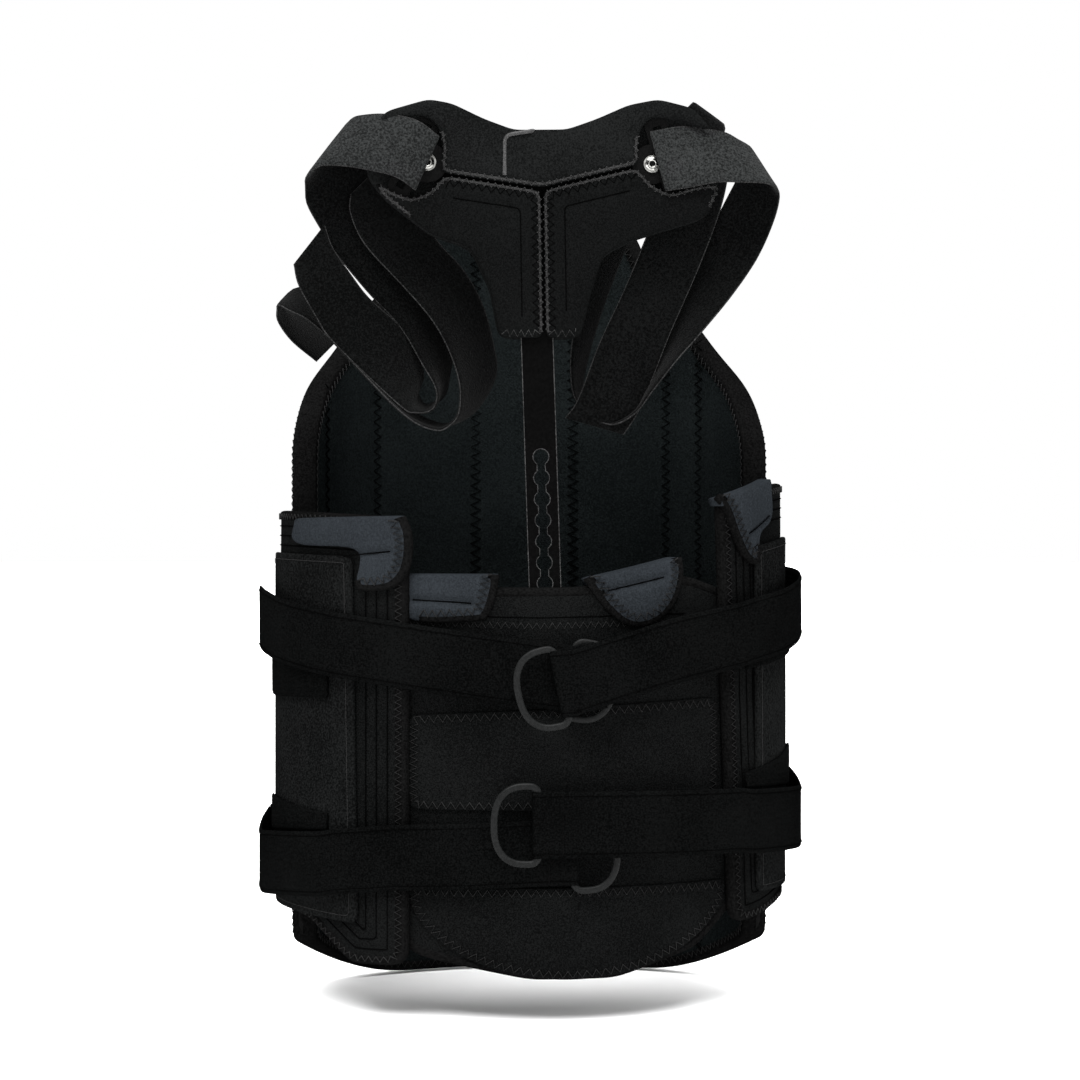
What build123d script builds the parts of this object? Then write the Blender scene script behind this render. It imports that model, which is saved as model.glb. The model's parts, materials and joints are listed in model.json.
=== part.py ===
from build123d import *
import math
import os

os.makedirs("parts", exist_ok=True)

# Thoraco-lumbar back brace, closed as it is worn.  Millimetres.
# +X is the wearer's left, -Y the wearer's front, +Z up.  The origin lies on
# the trunk's long axis at the waist.

# ---------------------------------------------------------------- dimensions
trunk_half_width = 139.0      # semi-axes of the wearer's trunk at the waist
trunk_half_depth = 93.0
wall_bottom = -200.0          # walls are raised over this span, then trimmed
wall_top = 400.0
reach = 220.0                 # farther out than any piece, for trimming prisms

strap_width = 40.0
strap_thickness = 2.0
ring_inner_height = 41.2
ring_stock = 4.6
ring_thickness = 4.0
ring_length = 28.5            # from the bar's axis to the curved end
ring_bar_radius = 2.0
sleeve_inner_radius = 2.4
sleeve_outer_radius = 3.6

bar_width = 19.0
bar_thickness = 2.5
bar_centre_y = -99.75
bar_lean = 1.86               # degrees, the top leans to the wearer's right
bar_top = 318.0
bar_bottom = 0.0
keyhole_radius = 4.8
keyhole_slot = 5.0
keyhole_pitch = 12.7
keyhole_first = 176.0
keyhole_count = 14
bar_travel = 38.1             # three keyhole steps each way

rivet_x = 67.5                # ear pivots, left and right of the centre
rivet_z = 352.0
rivet_radius = 2.2
washer_radius = 5.2
ear_hub_radius = 12.0

loop_angle = 112.0            # degrees round the trunk from the front
loop_bar_radius = 1.3

# Layers outward from the trunk surface: inner and outer offset of each wall.
posterior_liner_layer = (0.0, 5.0)
posterior_stay_layer = (5.3, 7.3)
posterior_shell_layer = (7.6, 10.2)
posterior_cover_layer = (10.5, 13.3)
posterior_binding_layer = (-0.6, 13.9)
abdominal_liner_layer = (0.0, 5.0)
abdominal_shell_layer = (9.2, 11.1)
abdominal_cover_layer = (11.3, 13.1)
front_panel_layer = (13.3, 15.2)
wing_liner_layer = (14.3, 16.3)
wing_shell_layer = (16.6, 18.4)
wing_cover_layer = (18.7, 20.4)
wing_trim_layer = (20.7, 23.9)

# Layers of the flat sternal yoke, as distances in front of the trunk axis.
yoke_pad_y = (-95.0, -87.0)
frame_y = (-98.3, -95.4)
ear_y = (-100.9, -98.6)
yoke_front_y = (-106.0, -101.4)
shoulder_front_y = (-109.6, -107.6)


def save(piece, name):
    """Label one sub-part and write it."""
    piece.part.label = name
    export_step(piece.part, f"parts/{name}.step")


def front_outline(points, radius=0.0):
    """A closed outline in the front view, its corners rounded."""
    with BuildSketch(Plane.XZ) as view:
        with BuildLine():
            Polyline(*points, close=True)
        make_face()
        if radius:
            fillet(view.vertices(), radius)
    return view.sketch


def side_outline(points, radius=0.0):
    """A closed outline in the side view, drawn as (y, z)."""
    with BuildSketch(Plane.YZ) as view:
        with BuildLine():
            Polyline(*points, close=True)
        make_face()
        if radius:
            fillet(view.vertices(), radius)
    return view.sketch


def curved_wall(layer, outline, y_back=0.0, y_front=-reach):
    """A wall round the trunk between two offsets, trimmed to a front-view outline."""
    inner, outer = layer
    placed = Pos(0, y_back, 0) * outline
    with BuildPart() as wall:
        with BuildSketch(Plane.XY.offset(wall_bottom)):
            Ellipse(trunk_half_width + outer, trunk_half_depth + outer)
            Ellipse(trunk_half_width + inner, trunk_half_depth + inner, mode=Mode.SUBTRACT)
        extrude(amount=wall_top - wall_bottom)
        extrude(placed, amount=y_back - y_front, mode=Mode.INTERSECT)
    return wall


# ------------------------------------------------------------ posterior panel
def posterior_outline(inset):
    """The back panel: rounded bottom, straight flanks, shoulders drawn in to the neck."""
    half = 158.0 - inset
    with BuildSketch(Plane.XZ) as view:
        with BuildLine():
            flank = Line((half, -95), (half, 105))
            shoulder = Spline((half, 105), (150 - inset, 175), (146 - inset, 206),
                              (139.5 - inset, 228), (127 - inset, 248), (104 - inset, 284),
                              (84 - inset, 316 - inset), (62, 346 - inset),
                              tangents=[(0, 1), (-1, 0.12)])
            neck = Line(shoulder @ 1, (0, 346 - inset))
            hip = Spline((half, -95), (142 - inset, -138), (104 - inset, -165 + inset),
                         (76, -167 + inset), tangents=[(0, -1), (-1, 0)])
            Line(hip @ 1, (0, -167 + inset))
            Line((0, -167 + inset), (0, 346 - inset))
        make_face()
        mirror(about=Plane.YZ)
    return view.sketch


posterior_front_edge = 4.0    # the panel's side edges stop just behind the trunk's widest line
binding_width = 5.0

panel_inner = posterior_outline(binding_width)
panel_outer = posterior_outline(0.0)


def posterior_wall(layer):
    return curved_wall(layer, panel_inner, reach, posterior_front_edge + binding_width)


posterior_liner = posterior_wall(posterior_liner_layer)
posterior_shell = posterior_wall(posterior_shell_layer)
posterior_cover = posterior_wall(posterior_cover_layer)

# The binding tape closes the panel's whole edge, over all of its layers.
posterior_binding = curved_wall(posterior_binding_layer, panel_outer, reach, posterior_front_edge)
with posterior_binding:
    core = Pos(0, reach, 0) * posterior_outline(binding_width - 0.3)
    extrude(core, amount=reach - posterior_front_edge - binding_width + 0.3, mode=Mode.SUBTRACT)

stay_x = 44.0
stay_width = 16.0
with BuildPart() as posterior_stays:
    for side in (-1, 1):
        with BuildSketch(Plane.XZ.offset(-reach)):
            with Locations((side * stay_x, 80)):
                RectangleRounded(stay_width, 420, 6)
        extrude(amount=reach)
    with BuildSketch(Plane.XY.offset(wall_bottom)) as ring:
        inner, outer = posterior_stay_layer
        Ellipse(trunk_half_width + outer, trunk_half_depth + outer)
        Ellipse(trunk_half_width + inner, trunk_half_depth + inner, mode=Mode.SUBTRACT)
    extrude(amount=wall_top - wall_bottom, mode=Mode.INTERSECT)

# ------------------------------------------------------------ abdominal panel
abdominal_view = front_outline([(-106, 84), (-60, 97), (20, 97), (92, 104), (124, 92),
                                (128, -92), (96, -122), (46, -137), (-6, -137),
                                (-74, -124), (-106, -100)], 10)
abdominal_liner = curved_wall(abdominal_liner_layer, abdominal_view)
abdominal_shell_view = front_outline([(-98, 78), (-58, 90), (20, 90), (88, 97), (117, 86),
                                      (120, -86), (92, -115), (44, -130), (-6, -130),
                                      (-70, -117), (-98, -94)], 9)
abdominal_shell = curved_wall(abdominal_shell_layer, abdominal_shell_view)
abdominal_cover = curved_wall(abdominal_cover_layer, abdominal_view)

centre_view = front_outline([(-79, 21), (110, 30), (110, -36), (-79, -36)], 3)
centre_panel = curved_wall(front_panel_layer, centre_view)

bib_centre_x = 18.0
bib_half_width = 98.0
with BuildSketch(Plane.XZ) as bib_view:
    with Locations((bib_centre_x, -82)):
        Ellipse(bib_half_width, 55)
    with Locations((bib_centre_x, -82)):
        Rectangle(2 * bib_half_width, 60, align=(Align.CENTER, Align.MIN), mode=Mode.SUBTRACT)
abdominal_bib = curved_wall(front_panel_layer, bib_view.sketch)

# Two lined flaps fold forward over the panel's top edge.
front_flap_left = curved_wall(front_panel_layer, front_outline(
    [(-78, 107), (-38, 103), (-24, 98), (-31, 76), (-75, 77)], 6))
front_flap_right = curved_wall(front_panel_layer, front_outline(
    [(24, 103), (80, 118), (86, 100), (74, 80), (52, 76), (34, 86)], 6))

# ------------------------------------------------------------ sternal bar
# The bar lies in the gap between the abdominal liner and shell.  Its plane
# faces the front and leans a little, like the whole yoke above it.
lean = math.radians(bar_lean)
bar_up = Vector(-math.sin(lean), 0, math.cos(lean))
bar_foot = Vector(6.2, 0, 0)  # the bar's centre line at waist height


def bar_plane(y):
    """A plane facing the front at depth y, with local y running up the bar."""
    return Plane(origin=(bar_foot.X, y, bar_foot.Z), x_dir=(math.cos(lean), 0, math.sin(lean)),
                 z_dir=(0, -1, 0))


with BuildPart() as sternal_bar:
    with BuildSketch(bar_plane(bar_centre_y + bar_thickness / 2)):
        with Locations((0, (bar_top + bar_bottom) / 2)):
            RectangleRounded(bar_width, bar_top - bar_bottom, 4)
        keyholes = [(0, keyhole_first - step * keyhole_pitch) for step in range(keyhole_count)]
        with Locations(*keyholes):
            Circle(keyhole_radius, mode=Mode.SUBTRACT)
        slot_middle = keyhole_first - (keyhole_count - 1) * keyhole_pitch / 2
        with Locations((0, slot_middle)):
            Rectangle(keyhole_slot, (keyhole_count - 1) * keyhole_pitch, mode=Mode.SUBTRACT)
    extrude(amount=bar_thickness)

# Two rails on the inside of the shell guide the bar.
rail_width = 5.0
rail_gap = 0.4
with BuildPart() as bar_guide:
    with BuildSketch(bar_plane(-98.4)):
        for side in (-1, 1):
            with Locations((side * (bar_width / 2 + rail_gap + rail_width / 2), 50)):
                RectangleRounded(rail_width, 76, 1.5)
    extrude(amount=2.4)

# A stud through one keyhole, the shell and the cover holds the bar's height.
stud_height = keyhole_first - 10 * keyhole_pitch
stud_radius = 2.3
stud_plane = bar_plane(-98.5)
with BuildPart() as bar_lock_stud:
    with BuildSketch(stud_plane):
        with Locations((0, stud_height)):
            Circle(stud_radius)
    extrude(amount=8.2)
    with BuildSketch(stud_plane.offset(8.0)):
        with Locations((0, stud_height)):
            Circle(5.5)
    extrude(amount=1.8)
    fillet(bar_lock_stud.faces().sort_by(Axis.Y)[0].edges(), 0.7)



def drilled(piece, plane, centres, radius):
    """The same piece with round holes through it, centred on points of a plane."""
    with BuildPart() as bored:
        add(piece.part)
        with BuildSketch(plane):
            with Locations(*centres):
                Circle(radius)
        extrude(amount=20, mode=Mode.SUBTRACT)
    return bored


abdominal_shell = drilled(abdominal_shell, stud_plane, [(0, stud_height)], stud_radius + 0.3)
abdominal_cover = drilled(abdominal_cover, stud_plane, [(0, stud_height)], stud_radius + 0.3)

# ------------------------------------------------------------ side wings
wing_back_y = 30.0


def wing_set(side, front_x, top_front, top_side, hem):
    """Liner, shell and cover of one side wing; hem lists its lower edge from the front."""
    edge = [(side * 190, top_side), (side * front_x, top_front)] + \
           [(side * x, z) for x, z in hem]
    view = front_outline(edge, 7)
    with BuildSketch(Plane.XZ) as shell_view:
        offset(view, amount=-6)
    liner = curved_wall(wing_liner_layer, view, wing_back_y)
    shell = curved_wall(wing_shell_layer, shell_view.sketch, wing_back_y - 6)
    cover = curved_wall(wing_cover_layer, view, wing_back_y)
    return liner, shell, cover


left_wing = wing_set(-1, 81, 139, 146, [(81, -129), (114, -130), (139, -106), (190, -96)])
right_wing = wing_set(1, 112, 152, 168, [(121, -110), (141, -106), (190, -88)])

# The wings' blue flaps fold forward over their top edges.
wing_flap_left = curved_wall(wing_trim_layer, front_outline(
    [(-148, 136), (-82, 137), (-86, 108), (-93, 97), (-109, 99), (-112, 122), (-148, 126)], 3))
wing_flap_right = curved_wall(wing_trim_layer, front_outline(
    [(113, 150), (147, 163), (149, 141), (132, 125), (119, 119)], 2))

# Pull strips: long webbing handles sewn down the wings.
wing_pull_left = curved_wall(wing_trim_layer, front_outline(
    [(-175, 119), (-114, 116), (-110.5, -106), (-175, -101)], 2))
wing_pull_right = curved_wall(wing_trim_layer, front_outline(
    [(136.5, 122), (175, 131), (175, -92), (138, -92)], 2))

# ------------------------------------------------------------ side straps
# Each strap runs back over the wing, round the bar of a slide loop behind the
# hip, and forward again underneath to where it is sewn to the wing.
outer_run = (33.6, 27.0)      # semi-axes beyond the trunk's, at mid thickness
inner_run = (25.6, 25.6)
hinge_x = 128.0               # the strap's front length peels open from here


def run_point(run, side, angle):
    """A point in plan on one run of a strap, at an angle round from the front."""
    turn = math.radians(angle)
    return Vector(side * (trunk_half_width + run[0]) * math.sin(turn),
                  -(trunk_half_depth + run[1]) * math.cos(turn))


def hinge_angle(run):
    return math.degrees(math.asin(hinge_x / (trunk_half_width + run[0])))


def strap_side(side, front_z, side_z, back_z, under_z, sewn_z):
    """The side length of one strap; each z is the strap's centre height there."""
    outer_end = run_point(outer_run, side, loop_angle)
    inner_end = run_point(inner_run, side, loop_angle)
    turn = math.radians(loop_angle)
    rate = Vector(side * (trunk_half_width + inner_run[0]) * math.cos(turn),
                  (trunk_half_depth + inner_run[1]) * math.sin(turn))
    inner_angle = loop_angle + math.degrees((outer_end - inner_end).dot(rate) / rate.dot(rate))
    inner_end = run_point(inner_run, side, inner_angle)
    bar = (outer_end + inner_end) / 2
    fold_radius = (outer_end - inner_end).length / 2
    half = strap_width / 2
    pieces = []
    for run, z_front in ((outer_run, front_z), (inner_run, sewn_z)):
        first = hinge_angle(run) + (0.4 if run is outer_run else -1.0)
        last = loop_angle if run is outer_run else inner_angle
        steps = [first + (last - first) * k / 6 for k in range(7)]
        middle_z = side_z if run is outer_run else under_z
        with BuildPart() as length:
            with BuildSketch(Plane.XY.offset(wall_bottom)):
                with BuildLine():
                    Spline(*[run_point(run, side, angle) for angle in steps])
                trace(line_width=strap_thickness)
            extrude(amount=wall_top - wall_bottom)
            start_y = run_point(run, side, first).Y - 4
            back_y = outer_end.Y + 8
            band = side_outline([(start_y, z_front + half), (-8, middle_z + half),
                                 (back_y - 16, back_z + half), (back_y, back_z + half),
                                 (back_y, back_z - half), (back_y - 16, back_z - half),
                                 (-8, middle_z - half), (start_y, z_front - half)])
            extrude(band, amount=reach, both=True, mode=Mode.INTERSECT)
        pieces.append(length.part)
    away = (outer_end - inner_end).normalized()
    with BuildPart() as strap:
        add(pieces)
        fold_plane = Plane(origin=(bar.X, bar.Y, back_z - half), x_dir=(away.X, away.Y, 0),
                           z_dir=(0, 0, 1))
        with BuildSketch(fold_plane):
            Circle(fold_radius + strap_thickness / 2)
            Circle(fold_radius - strap_thickness / 2, mode=Mode.SUBTRACT)
            with Locations((0, -side * 10.0)):
                Rectangle(20, 20, mode=Mode.SUBTRACT)
        extrude(amount=strap_width)
    return strap, bar, away


def slide_loop(side, bar, away, z):
    """A flat metal loop: the strap's bar in front, the tab's bar behind, rails between."""
    height = strap_width + 9
    backward = Vector(side * away.Y, -side * away.X)
    backward = backward if backward.Y > 0 else -backward
    rear = bar + backward * 10
    plane = Plane(origin=(bar.X, bar.Y, z), x_dir=(backward.X, backward.Y, 0),
                  z_dir=(away.X, away.Y, 0))
    with BuildPart() as loop:
        with BuildSketch(plane.offset(-loop_bar_radius)):
            with Locations((5, 0)):
                RectangleRounded(10 + 2 * loop_bar_radius, height, loop_bar_radius)
                Rectangle(10 - 2 * loop_bar_radius, strap_width + 2, mode=Mode.SUBTRACT)
        extrude(amount=2 * loop_bar_radius)
    return loop, rear


def slide_tab(side, rear, z):
    """Webbing sewn to the back panel, with a sleeve round the loop's rear bar."""
    sleeve_outer = loop_bar_radius * 1.42 + 1.8
    wall_run = (17.4, 17.4)
    low = z - strap_width / 2 + 1
    with BuildPart() as tab:
        with BuildSketch(Plane.XY.offset(low)):
            with BuildLine():
                Polyline(rear, run_point(wall_run, side, 128), run_point(wall_run, side, 140),
                         run_point(wall_run, side, 150))
            trace(line_width=1.8)
            with Locations((rear.X, rear.Y)):
                Circle(sleeve_outer)
        extrude(amount=strap_width - 2)
        with BuildSketch(Plane.XY.offset(low)):
            with Locations((rear.X, rear.Y)):
                Circle(loop_bar_radius * 1.42 + 0.2)
        extrude(amount=strap_width - 2, mode=Mode.SUBTRACT)
    return tab


# Centre heights of each strap: at the opening line, at the side, at the loop,
# then forward again underneath: at the side, and where it is sewn down.
strap_heights = {
    "upper_left": (-1, 63, 79, 68, 48, 50),
    "upper_right": (1, 69, 86, 90, 76, 66),
    "lower_left": (-1, -70, -77, -62, -53, -60),
    "lower_right": (1, -46, -50, -36, -22, -38),
}
pieces = {}
for place, (side, front_z, side_z, back_z, under_z, sewn_z) in strap_heights.items():
    strap, bar, away = strap_side(side, front_z, side_z, back_z, under_z, sewn_z)
    loop, rear = slide_loop(side, bar, away, back_z)
    pieces[f"strap_side_{place}"] = strap
    pieces[f"slide_loop_{place}"] = loop
    pieces[f"slide_tab_{place}"] = slide_tab(side, rear, back_z)

# ------------------------------------------------------------ front straps, rings
left_front_y = -112.3         # mid thickness of the straps at the centre
right_front_y = -120.1


def ring_plane(side, axis_x, y, z, tilt):
    """A plane facing the front on a ring's bar, local x towards its curved end."""
    turn = math.radians(tilt)
    return Plane(origin=(axis_x, y, z), z_dir=(0, -1, 0),
                 x_dir=(-side * math.cos(turn), 0, -side * math.sin(turn)))


def strap_front(side, front_z, middle, plane):
    """The front length of one strap, ending in the fold that holds the ring's bar."""
    half = strap_width / 2
    axis = plane.origin
    start_y = run_point(outer_run, side, hinge_angle(outer_run)).Y
    end_x = axis.X + side * 2.9
    middle_x, middle_z = middle
    with BuildPart() as strap:
        with BuildSketch(Plane.XY.offset(wall_bottom)):
            with BuildLine():
                Spline((side * (hinge_x - 0.4), start_y - 0.3),
                       (side * 100, start_y * 0.28 + axis.Y * 0.72 + 9.5),
                       (side * 60, axis.Y + 3.4), (side * 26, axis.Y),
                       tangents=[(-side, -0.78), (-side, 0)])
                Line((side * 26, axis.Y), (end_x, axis.Y))
            trace(line_width=strap_thickness)
        extrude(amount=wall_top - wall_bottom)
        path = [(side * (hinge_x + 5), front_z + 1), (middle_x, middle_z), (axis.X, axis.Z)]
        band = front_outline([(x, z + half) for x, z in path] +
                             [(x, z - half) for x, z in reversed(path)])
        extrude(band, amount=reach, mode=Mode.INTERSECT)
        sleeve = Plane(origin=axis, x_dir=plane.x_dir, z_dir=plane.y_dir)
        with BuildSketch(sleeve):
            Circle(sleeve_outer_radius)
        extrude(amount=half - 0.2, both=True)
        with BuildSketch(sleeve):
            Circle(sleeve_inner_radius)
        extrude(amount=strap_width, both=True, mode=Mode.SUBTRACT)
    return strap


def d_profile(start, end, half_height, radius):
    """A flat D in its own plane: square at its start, round at its end."""
    with BuildSketch() as profile:
        with Locations(((start + end) / 2, 0)):
            Rectangle(end - start, 2 * half_height)
        fillet(profile.vertices().group_by(Axis.X)[-1], radius)
    return profile.sketch


def d_ring(plane):
    """A flat D-shaped finger pull with a round bar on its straight side."""
    half_height = ring_inner_height / 2 + ring_stock
    outer = d_profile(-2.3, ring_length, half_height, 16)
    opening = d_profile(-20, ring_length - ring_stock, ring_inner_height / 2, 11.4)
    with BuildPart() as ring:
        with BuildSketch(plane):
            add(outer)
            add(opening, mode=Mode.SUBTRACT)
        extrude(amount=ring_thickness / 2, both=True)
        with BuildSketch(Plane(origin=plane.origin, x_dir=plane.x_dir, z_dir=plane.y_dir)):
            Circle(ring_bar_radius)
        extrude(amount=half_height - 1.5, both=True)
    return ring


front_straps = {              # opening-line height, a point on the way, ring bar x and z, tilt
    "upper_left": (63, (-36, 50.4), 17.5, 43.0, -8),
    "upper_right": (69, (77, 59.0), 12.0, 39.5, 12),
    "lower_left": (-70, (-84, -64.0), 19.0, -60.0, 2),
    "lower_right": (-46, (60, -43.0), -2.0, -43.0, 0),
}
for place, (front_z, middle, axis_x, axis_z, tilt) in front_straps.items():
    side = strap_heights[place][0]
    y = right_front_y if side > 0 else left_front_y
    plane = ring_plane(side, axis_x, y, axis_z, tilt)
    pieces[f"strap_front_{place}"] = strap_front(side, front_z, middle, plane)
    pieces[f"d_ring_{place}"] = d_ring(plane)

# ------------------------------------------------------------ sternal yoke
collar_left = [(-100, 374), (-92, 382), (-67, 389.4), (-53, 387), (-34, 378), (-16, 371.5)]
collar_right = [(16, 372), (34, 378.5), (53, 387), (71, 390.6), (92, 385.5), (106, 370)]
wing_hem_left = [(-105, 345), (-93, 330), (-66, 309), (-42, 301), (-30, 276), (-24.6, 247)]
wing_hem_right = [(24, 247), (32.4, 280), (38, 297), (56.4, 306.6), (100, 320), (109, 340)]


def yoke_layer(outline, depths):
    """A flat layer of the yoke between two depths."""
    back, front = max(depths), min(depths)
    with BuildPart() as layer:
        extrude(Pos(0, back, 0) * outline, amount=back - front)
    return layer


yoke_pad = yoke_layer(front_outline(
    collar_left + collar_right + list(reversed(wing_hem_right)) + list(reversed(wing_hem_left)), 3),
    yoke_pad_y)

collar = yoke_layer(front_outline(
    collar_left + collar_right + [(84, 378), (66, 380), (60, 372), (58, 360), (60, 351.5),
                                  (1, 337), (-60, 345.5), (-58, 360), (-61, 373),
                                  (-70, 380), (-88, 377)], 1.2), yoke_front_y)
yoke_wing_left = yoke_layer(front_outline(
    [(0.2, 335), (-58, 343.5), (-65, 334), (-77, 329), (-90, 334)] + wing_hem_left + [(1.6, 247)],
    1.2), yoke_front_y)
yoke_wing_right = yoke_layer(front_outline(
    [(1.8, 335.3), (58, 349.2), (66, 339), (78, 333), (92, 338)] + list(reversed(wing_hem_right)) +
    [(3.2, 247)], 1.2), yoke_front_y)

# The frame is a T of sheet metal: a stem on the bar and an arm to each pivot.
arm_half = 8.0
with BuildPart() as sternal_frame:
    with BuildSketch(Plane.XZ.offset(-frame_y[1])):
        with Locations((-1, 296)):
            RectangleRounded(30, 84, 4)
        with BuildLine():
            Polyline((-rivet_x, rivet_z + arm_half), (0, 338), (rivet_x, rivet_z + arm_half),
                     (rivet_x, rivet_z - arm_half), (22, 318), (-22, 318),
                     (-rivet_x, rivet_z - arm_half), close=True)
        make_face()
        with Locations((-rivet_x, rivet_z), (rivet_x, rivet_z)):
            Circle(arm_half)
            Circle(rivet_radius + 0.05, mode=Mode.SUBTRACT)
    extrude(amount=frame_y[1] - frame_y[0])

# Two flush rivets join the bar to the frame.
frame_rivet_heights = (304.0, 276.0)
rivet_back = bar_plane(-95.3)
with BuildPart() as frame_rivets:
    with BuildSketch(rivet_back):
        with Locations(*[(0, z) for z in frame_rivet_heights]):
            Circle(rivet_radius)
    extrude(amount=5.7)
rivet_centres = [(0, z) for z in frame_rivet_heights]
sternal_bar = drilled(sternal_bar, rivet_back.offset(-2), rivet_centres, rivet_radius + 0.05)
sternal_frame = drilled(sternal_frame, rivet_back.offset(-2), rivet_centres, rivet_radius + 0.05)

# ------------------------------------------------------------ ears and rivets
slot_offset = 9.0             # from the pivot to the middle of the strap slot
slot_gap = 5.0
ear_rail = 4.5


def ear_plane(side, y):
    """A plane facing the front on a pivot, local x outward across the strap slot."""
    turn = math.radians(24.5 if side < 0 else 17.0)
    return Plane(origin=(side * rivet_x, y, rivet_z), z_dir=(0, -1, 0),
                 x_dir=(side * math.cos(turn), 0, math.sin(turn)))


def strap_ear(side):
    """A plastic plate that turns on the yoke's rivet and carries the strap slot."""
    height = strap_width + 2 * ear_rail + 2
    outer = slot_offset + slot_gap / 2 + ear_rail
    with BuildPart() as ear:
        with BuildSketch(ear_plane(side, ear_y[1])) as face:
            Circle(ear_hub_radius)
            with Locations(((outer + 2) / 2, 0)):
                RectangleRounded(outer - 2, height, 4)
            with Locations((slot_offset, 0)):
                Rectangle(slot_gap, strap_width + 2, mode=Mode.SUBTRACT)
            Circle(rivet_radius + 0.08, mode=Mode.SUBTRACT)
        extrude(amount=ear_y[1] - ear_y[0])
    return ear


ear_left = strap_ear(-1)
ear_right = strap_ear(1)

with BuildPart() as ear_rivets:
    for side in (-1, 1):
        with BuildSketch(ear_plane(side, -95.3)):
            Circle(rivet_radius)
        extrude(amount=7.5)
        with BuildSketch(ear_plane(side, -102.4)):
            Circle(3.6)
        extrude(amount=1.2, taper=20)

with BuildPart() as ear_washers:
    for side in (-1, 1):
        with BuildSketch(ear_plane(side, -101.1)):
            Circle(washer_radius)
            Circle(rivet_radius + 0.1, mode=Mode.SUBTRACT)
        extrude(amount=1.1)

# ------------------------------------------------------------ shoulder straps


def slab(outline_points, y):
    """One flat length of strap in the front view, centred at depth y."""
    outline = front_outline(outline_points)
    placed = Pos(0, y + strap_thickness / 2, 0) * outline
    return extrude(placed, amount=strap_thickness, mode=Mode.PRIVATE)


def fold(start, end, y_front, y_back):
    """The turned edge of a folded strap, joining two lengths at different depths."""
    middle = ((start[0] + end[0]) / 2, (y_front + y_back) / 2, (start[1] + end[1]) / 2)
    along = Vector(end[0] - start[0], 0, end[1] - start[1])
    plane = Plane(origin=middle, x_dir=along.normalized(), z_dir=(0, -1, 0))
    return extrude(plane * Rectangle(along.length, strap_thickness),
                   amount=(y_back - y_front) / 2 + strap_thickness / 2, both=True,
                   mode=Mode.PRIVATE)


def ear_wrap(side):
    """The strap's end, down through the ear's slot and back behind its outer rail."""
    front = shoulder_front_y[1]
    back = ear_y[1] + 0.3
    plane = ear_plane(side, back + strap_thickness)
    through = extrude(plane * Pos(slot_offset, 0) * Rectangle(strap_thickness, strap_width),
                      amount=back + strap_thickness - front + 1, mode=Mode.PRIVATE)
    behind = extrude(plane * Pos(slot_offset + 7, 0) * Rectangle(15, strap_width),
                     amount=strap_thickness, mode=Mode.PRIVATE)
    return through + behind


left_lengths = [
    slab([(-66, 374), (-93.6, 382), (-110.4, 380.4), (-140.4, 342), (-124, 348), (-99, 345),
          (-83, 337)], -108.6),
    slab([(-140.4, 342), (-110.4, 380.4), (-69, 318), (-28, 241), (-31, 219), (-51, 195),
          (-86, 203), (-60, 212), (-63, 252), (-82, 283), (-110, 315)], -71),
    slab([(-150, 296), (-131.6, 318.5), (-107.6, 273.6), (-64.6, 221), (-63, 195), (-88, 206),
          (-120, 240), (-148, 283)], -85),
    slab([(-165, 269), (-150, 296), (-131.6, 318.5), (-108, 268), (-123, 242), (-139, 242)], -63),
    fold((-138.8, 344), (-111, 379.6), -109.6, -70),
    fold((-86, 205.4), (-64, 196), -85, -70),
    fold((-149.2, 296), (-132.4, 316.6), -85, -63),
    ear_wrap(-1),
]
right_lengths = [
    slab([(69, 374), (86.4, 375), (112.8, 371.4), (125.4, 361.8), (143.4, 336.6), (128, 341),
          (114, 341), (81.5, 335)], -108.6),
    slab([(143.4, 336.6), (125.4, 361.8), (112, 335), (70, 255), (17, 203), (53.3, 192), (73, 221),
          (102, 257.4), (126, 290.5), (146, 325)], -67),
    slab([(16, 201.6), (53.3, 191.7), (112.8, 324.4), (118, 352), (115, 380), (101, 393),
          (86, 376), (67.6, 316)], -81),
    slab([(20, 216), (16, 201.6), (68, 317), (101, 393), (80, 380), (37.6, 299)], -74),
    fold((142.6, 338), (126.2, 361), -109.6, -67),
    fold((17.4, 201.6), (53, 192.6), -81, -67),
    fold((101, 392), (87, 376.6), -81, -74),
    ear_wrap(1),
]
with BuildPart() as shoulder_strap_left:
    add(left_lengths)
with BuildPart() as shoulder_strap_right:
    add(right_lengths)

# A thin flat wire hooks over the collar's top edge.
wire_width = 3.0
wire_thickness = 1.2
with BuildPart() as collar_hook:
    with Locations((-21, -107, 359.4)):
        Box(wire_width, wire_thickness, 31)
    with BuildSketch(Plane.XY.offset(374.2)):
        with BuildLine():
            Polyline((-21, -107.6), (-21, -104), (-4.6, -83.4))
        trace(line_width=wire_width)
    extrude(amount=wire_thickness)
    with Locations((-5.4, -84, 367.2)):
        Box(wire_width, wire_thickness, 15)

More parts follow.
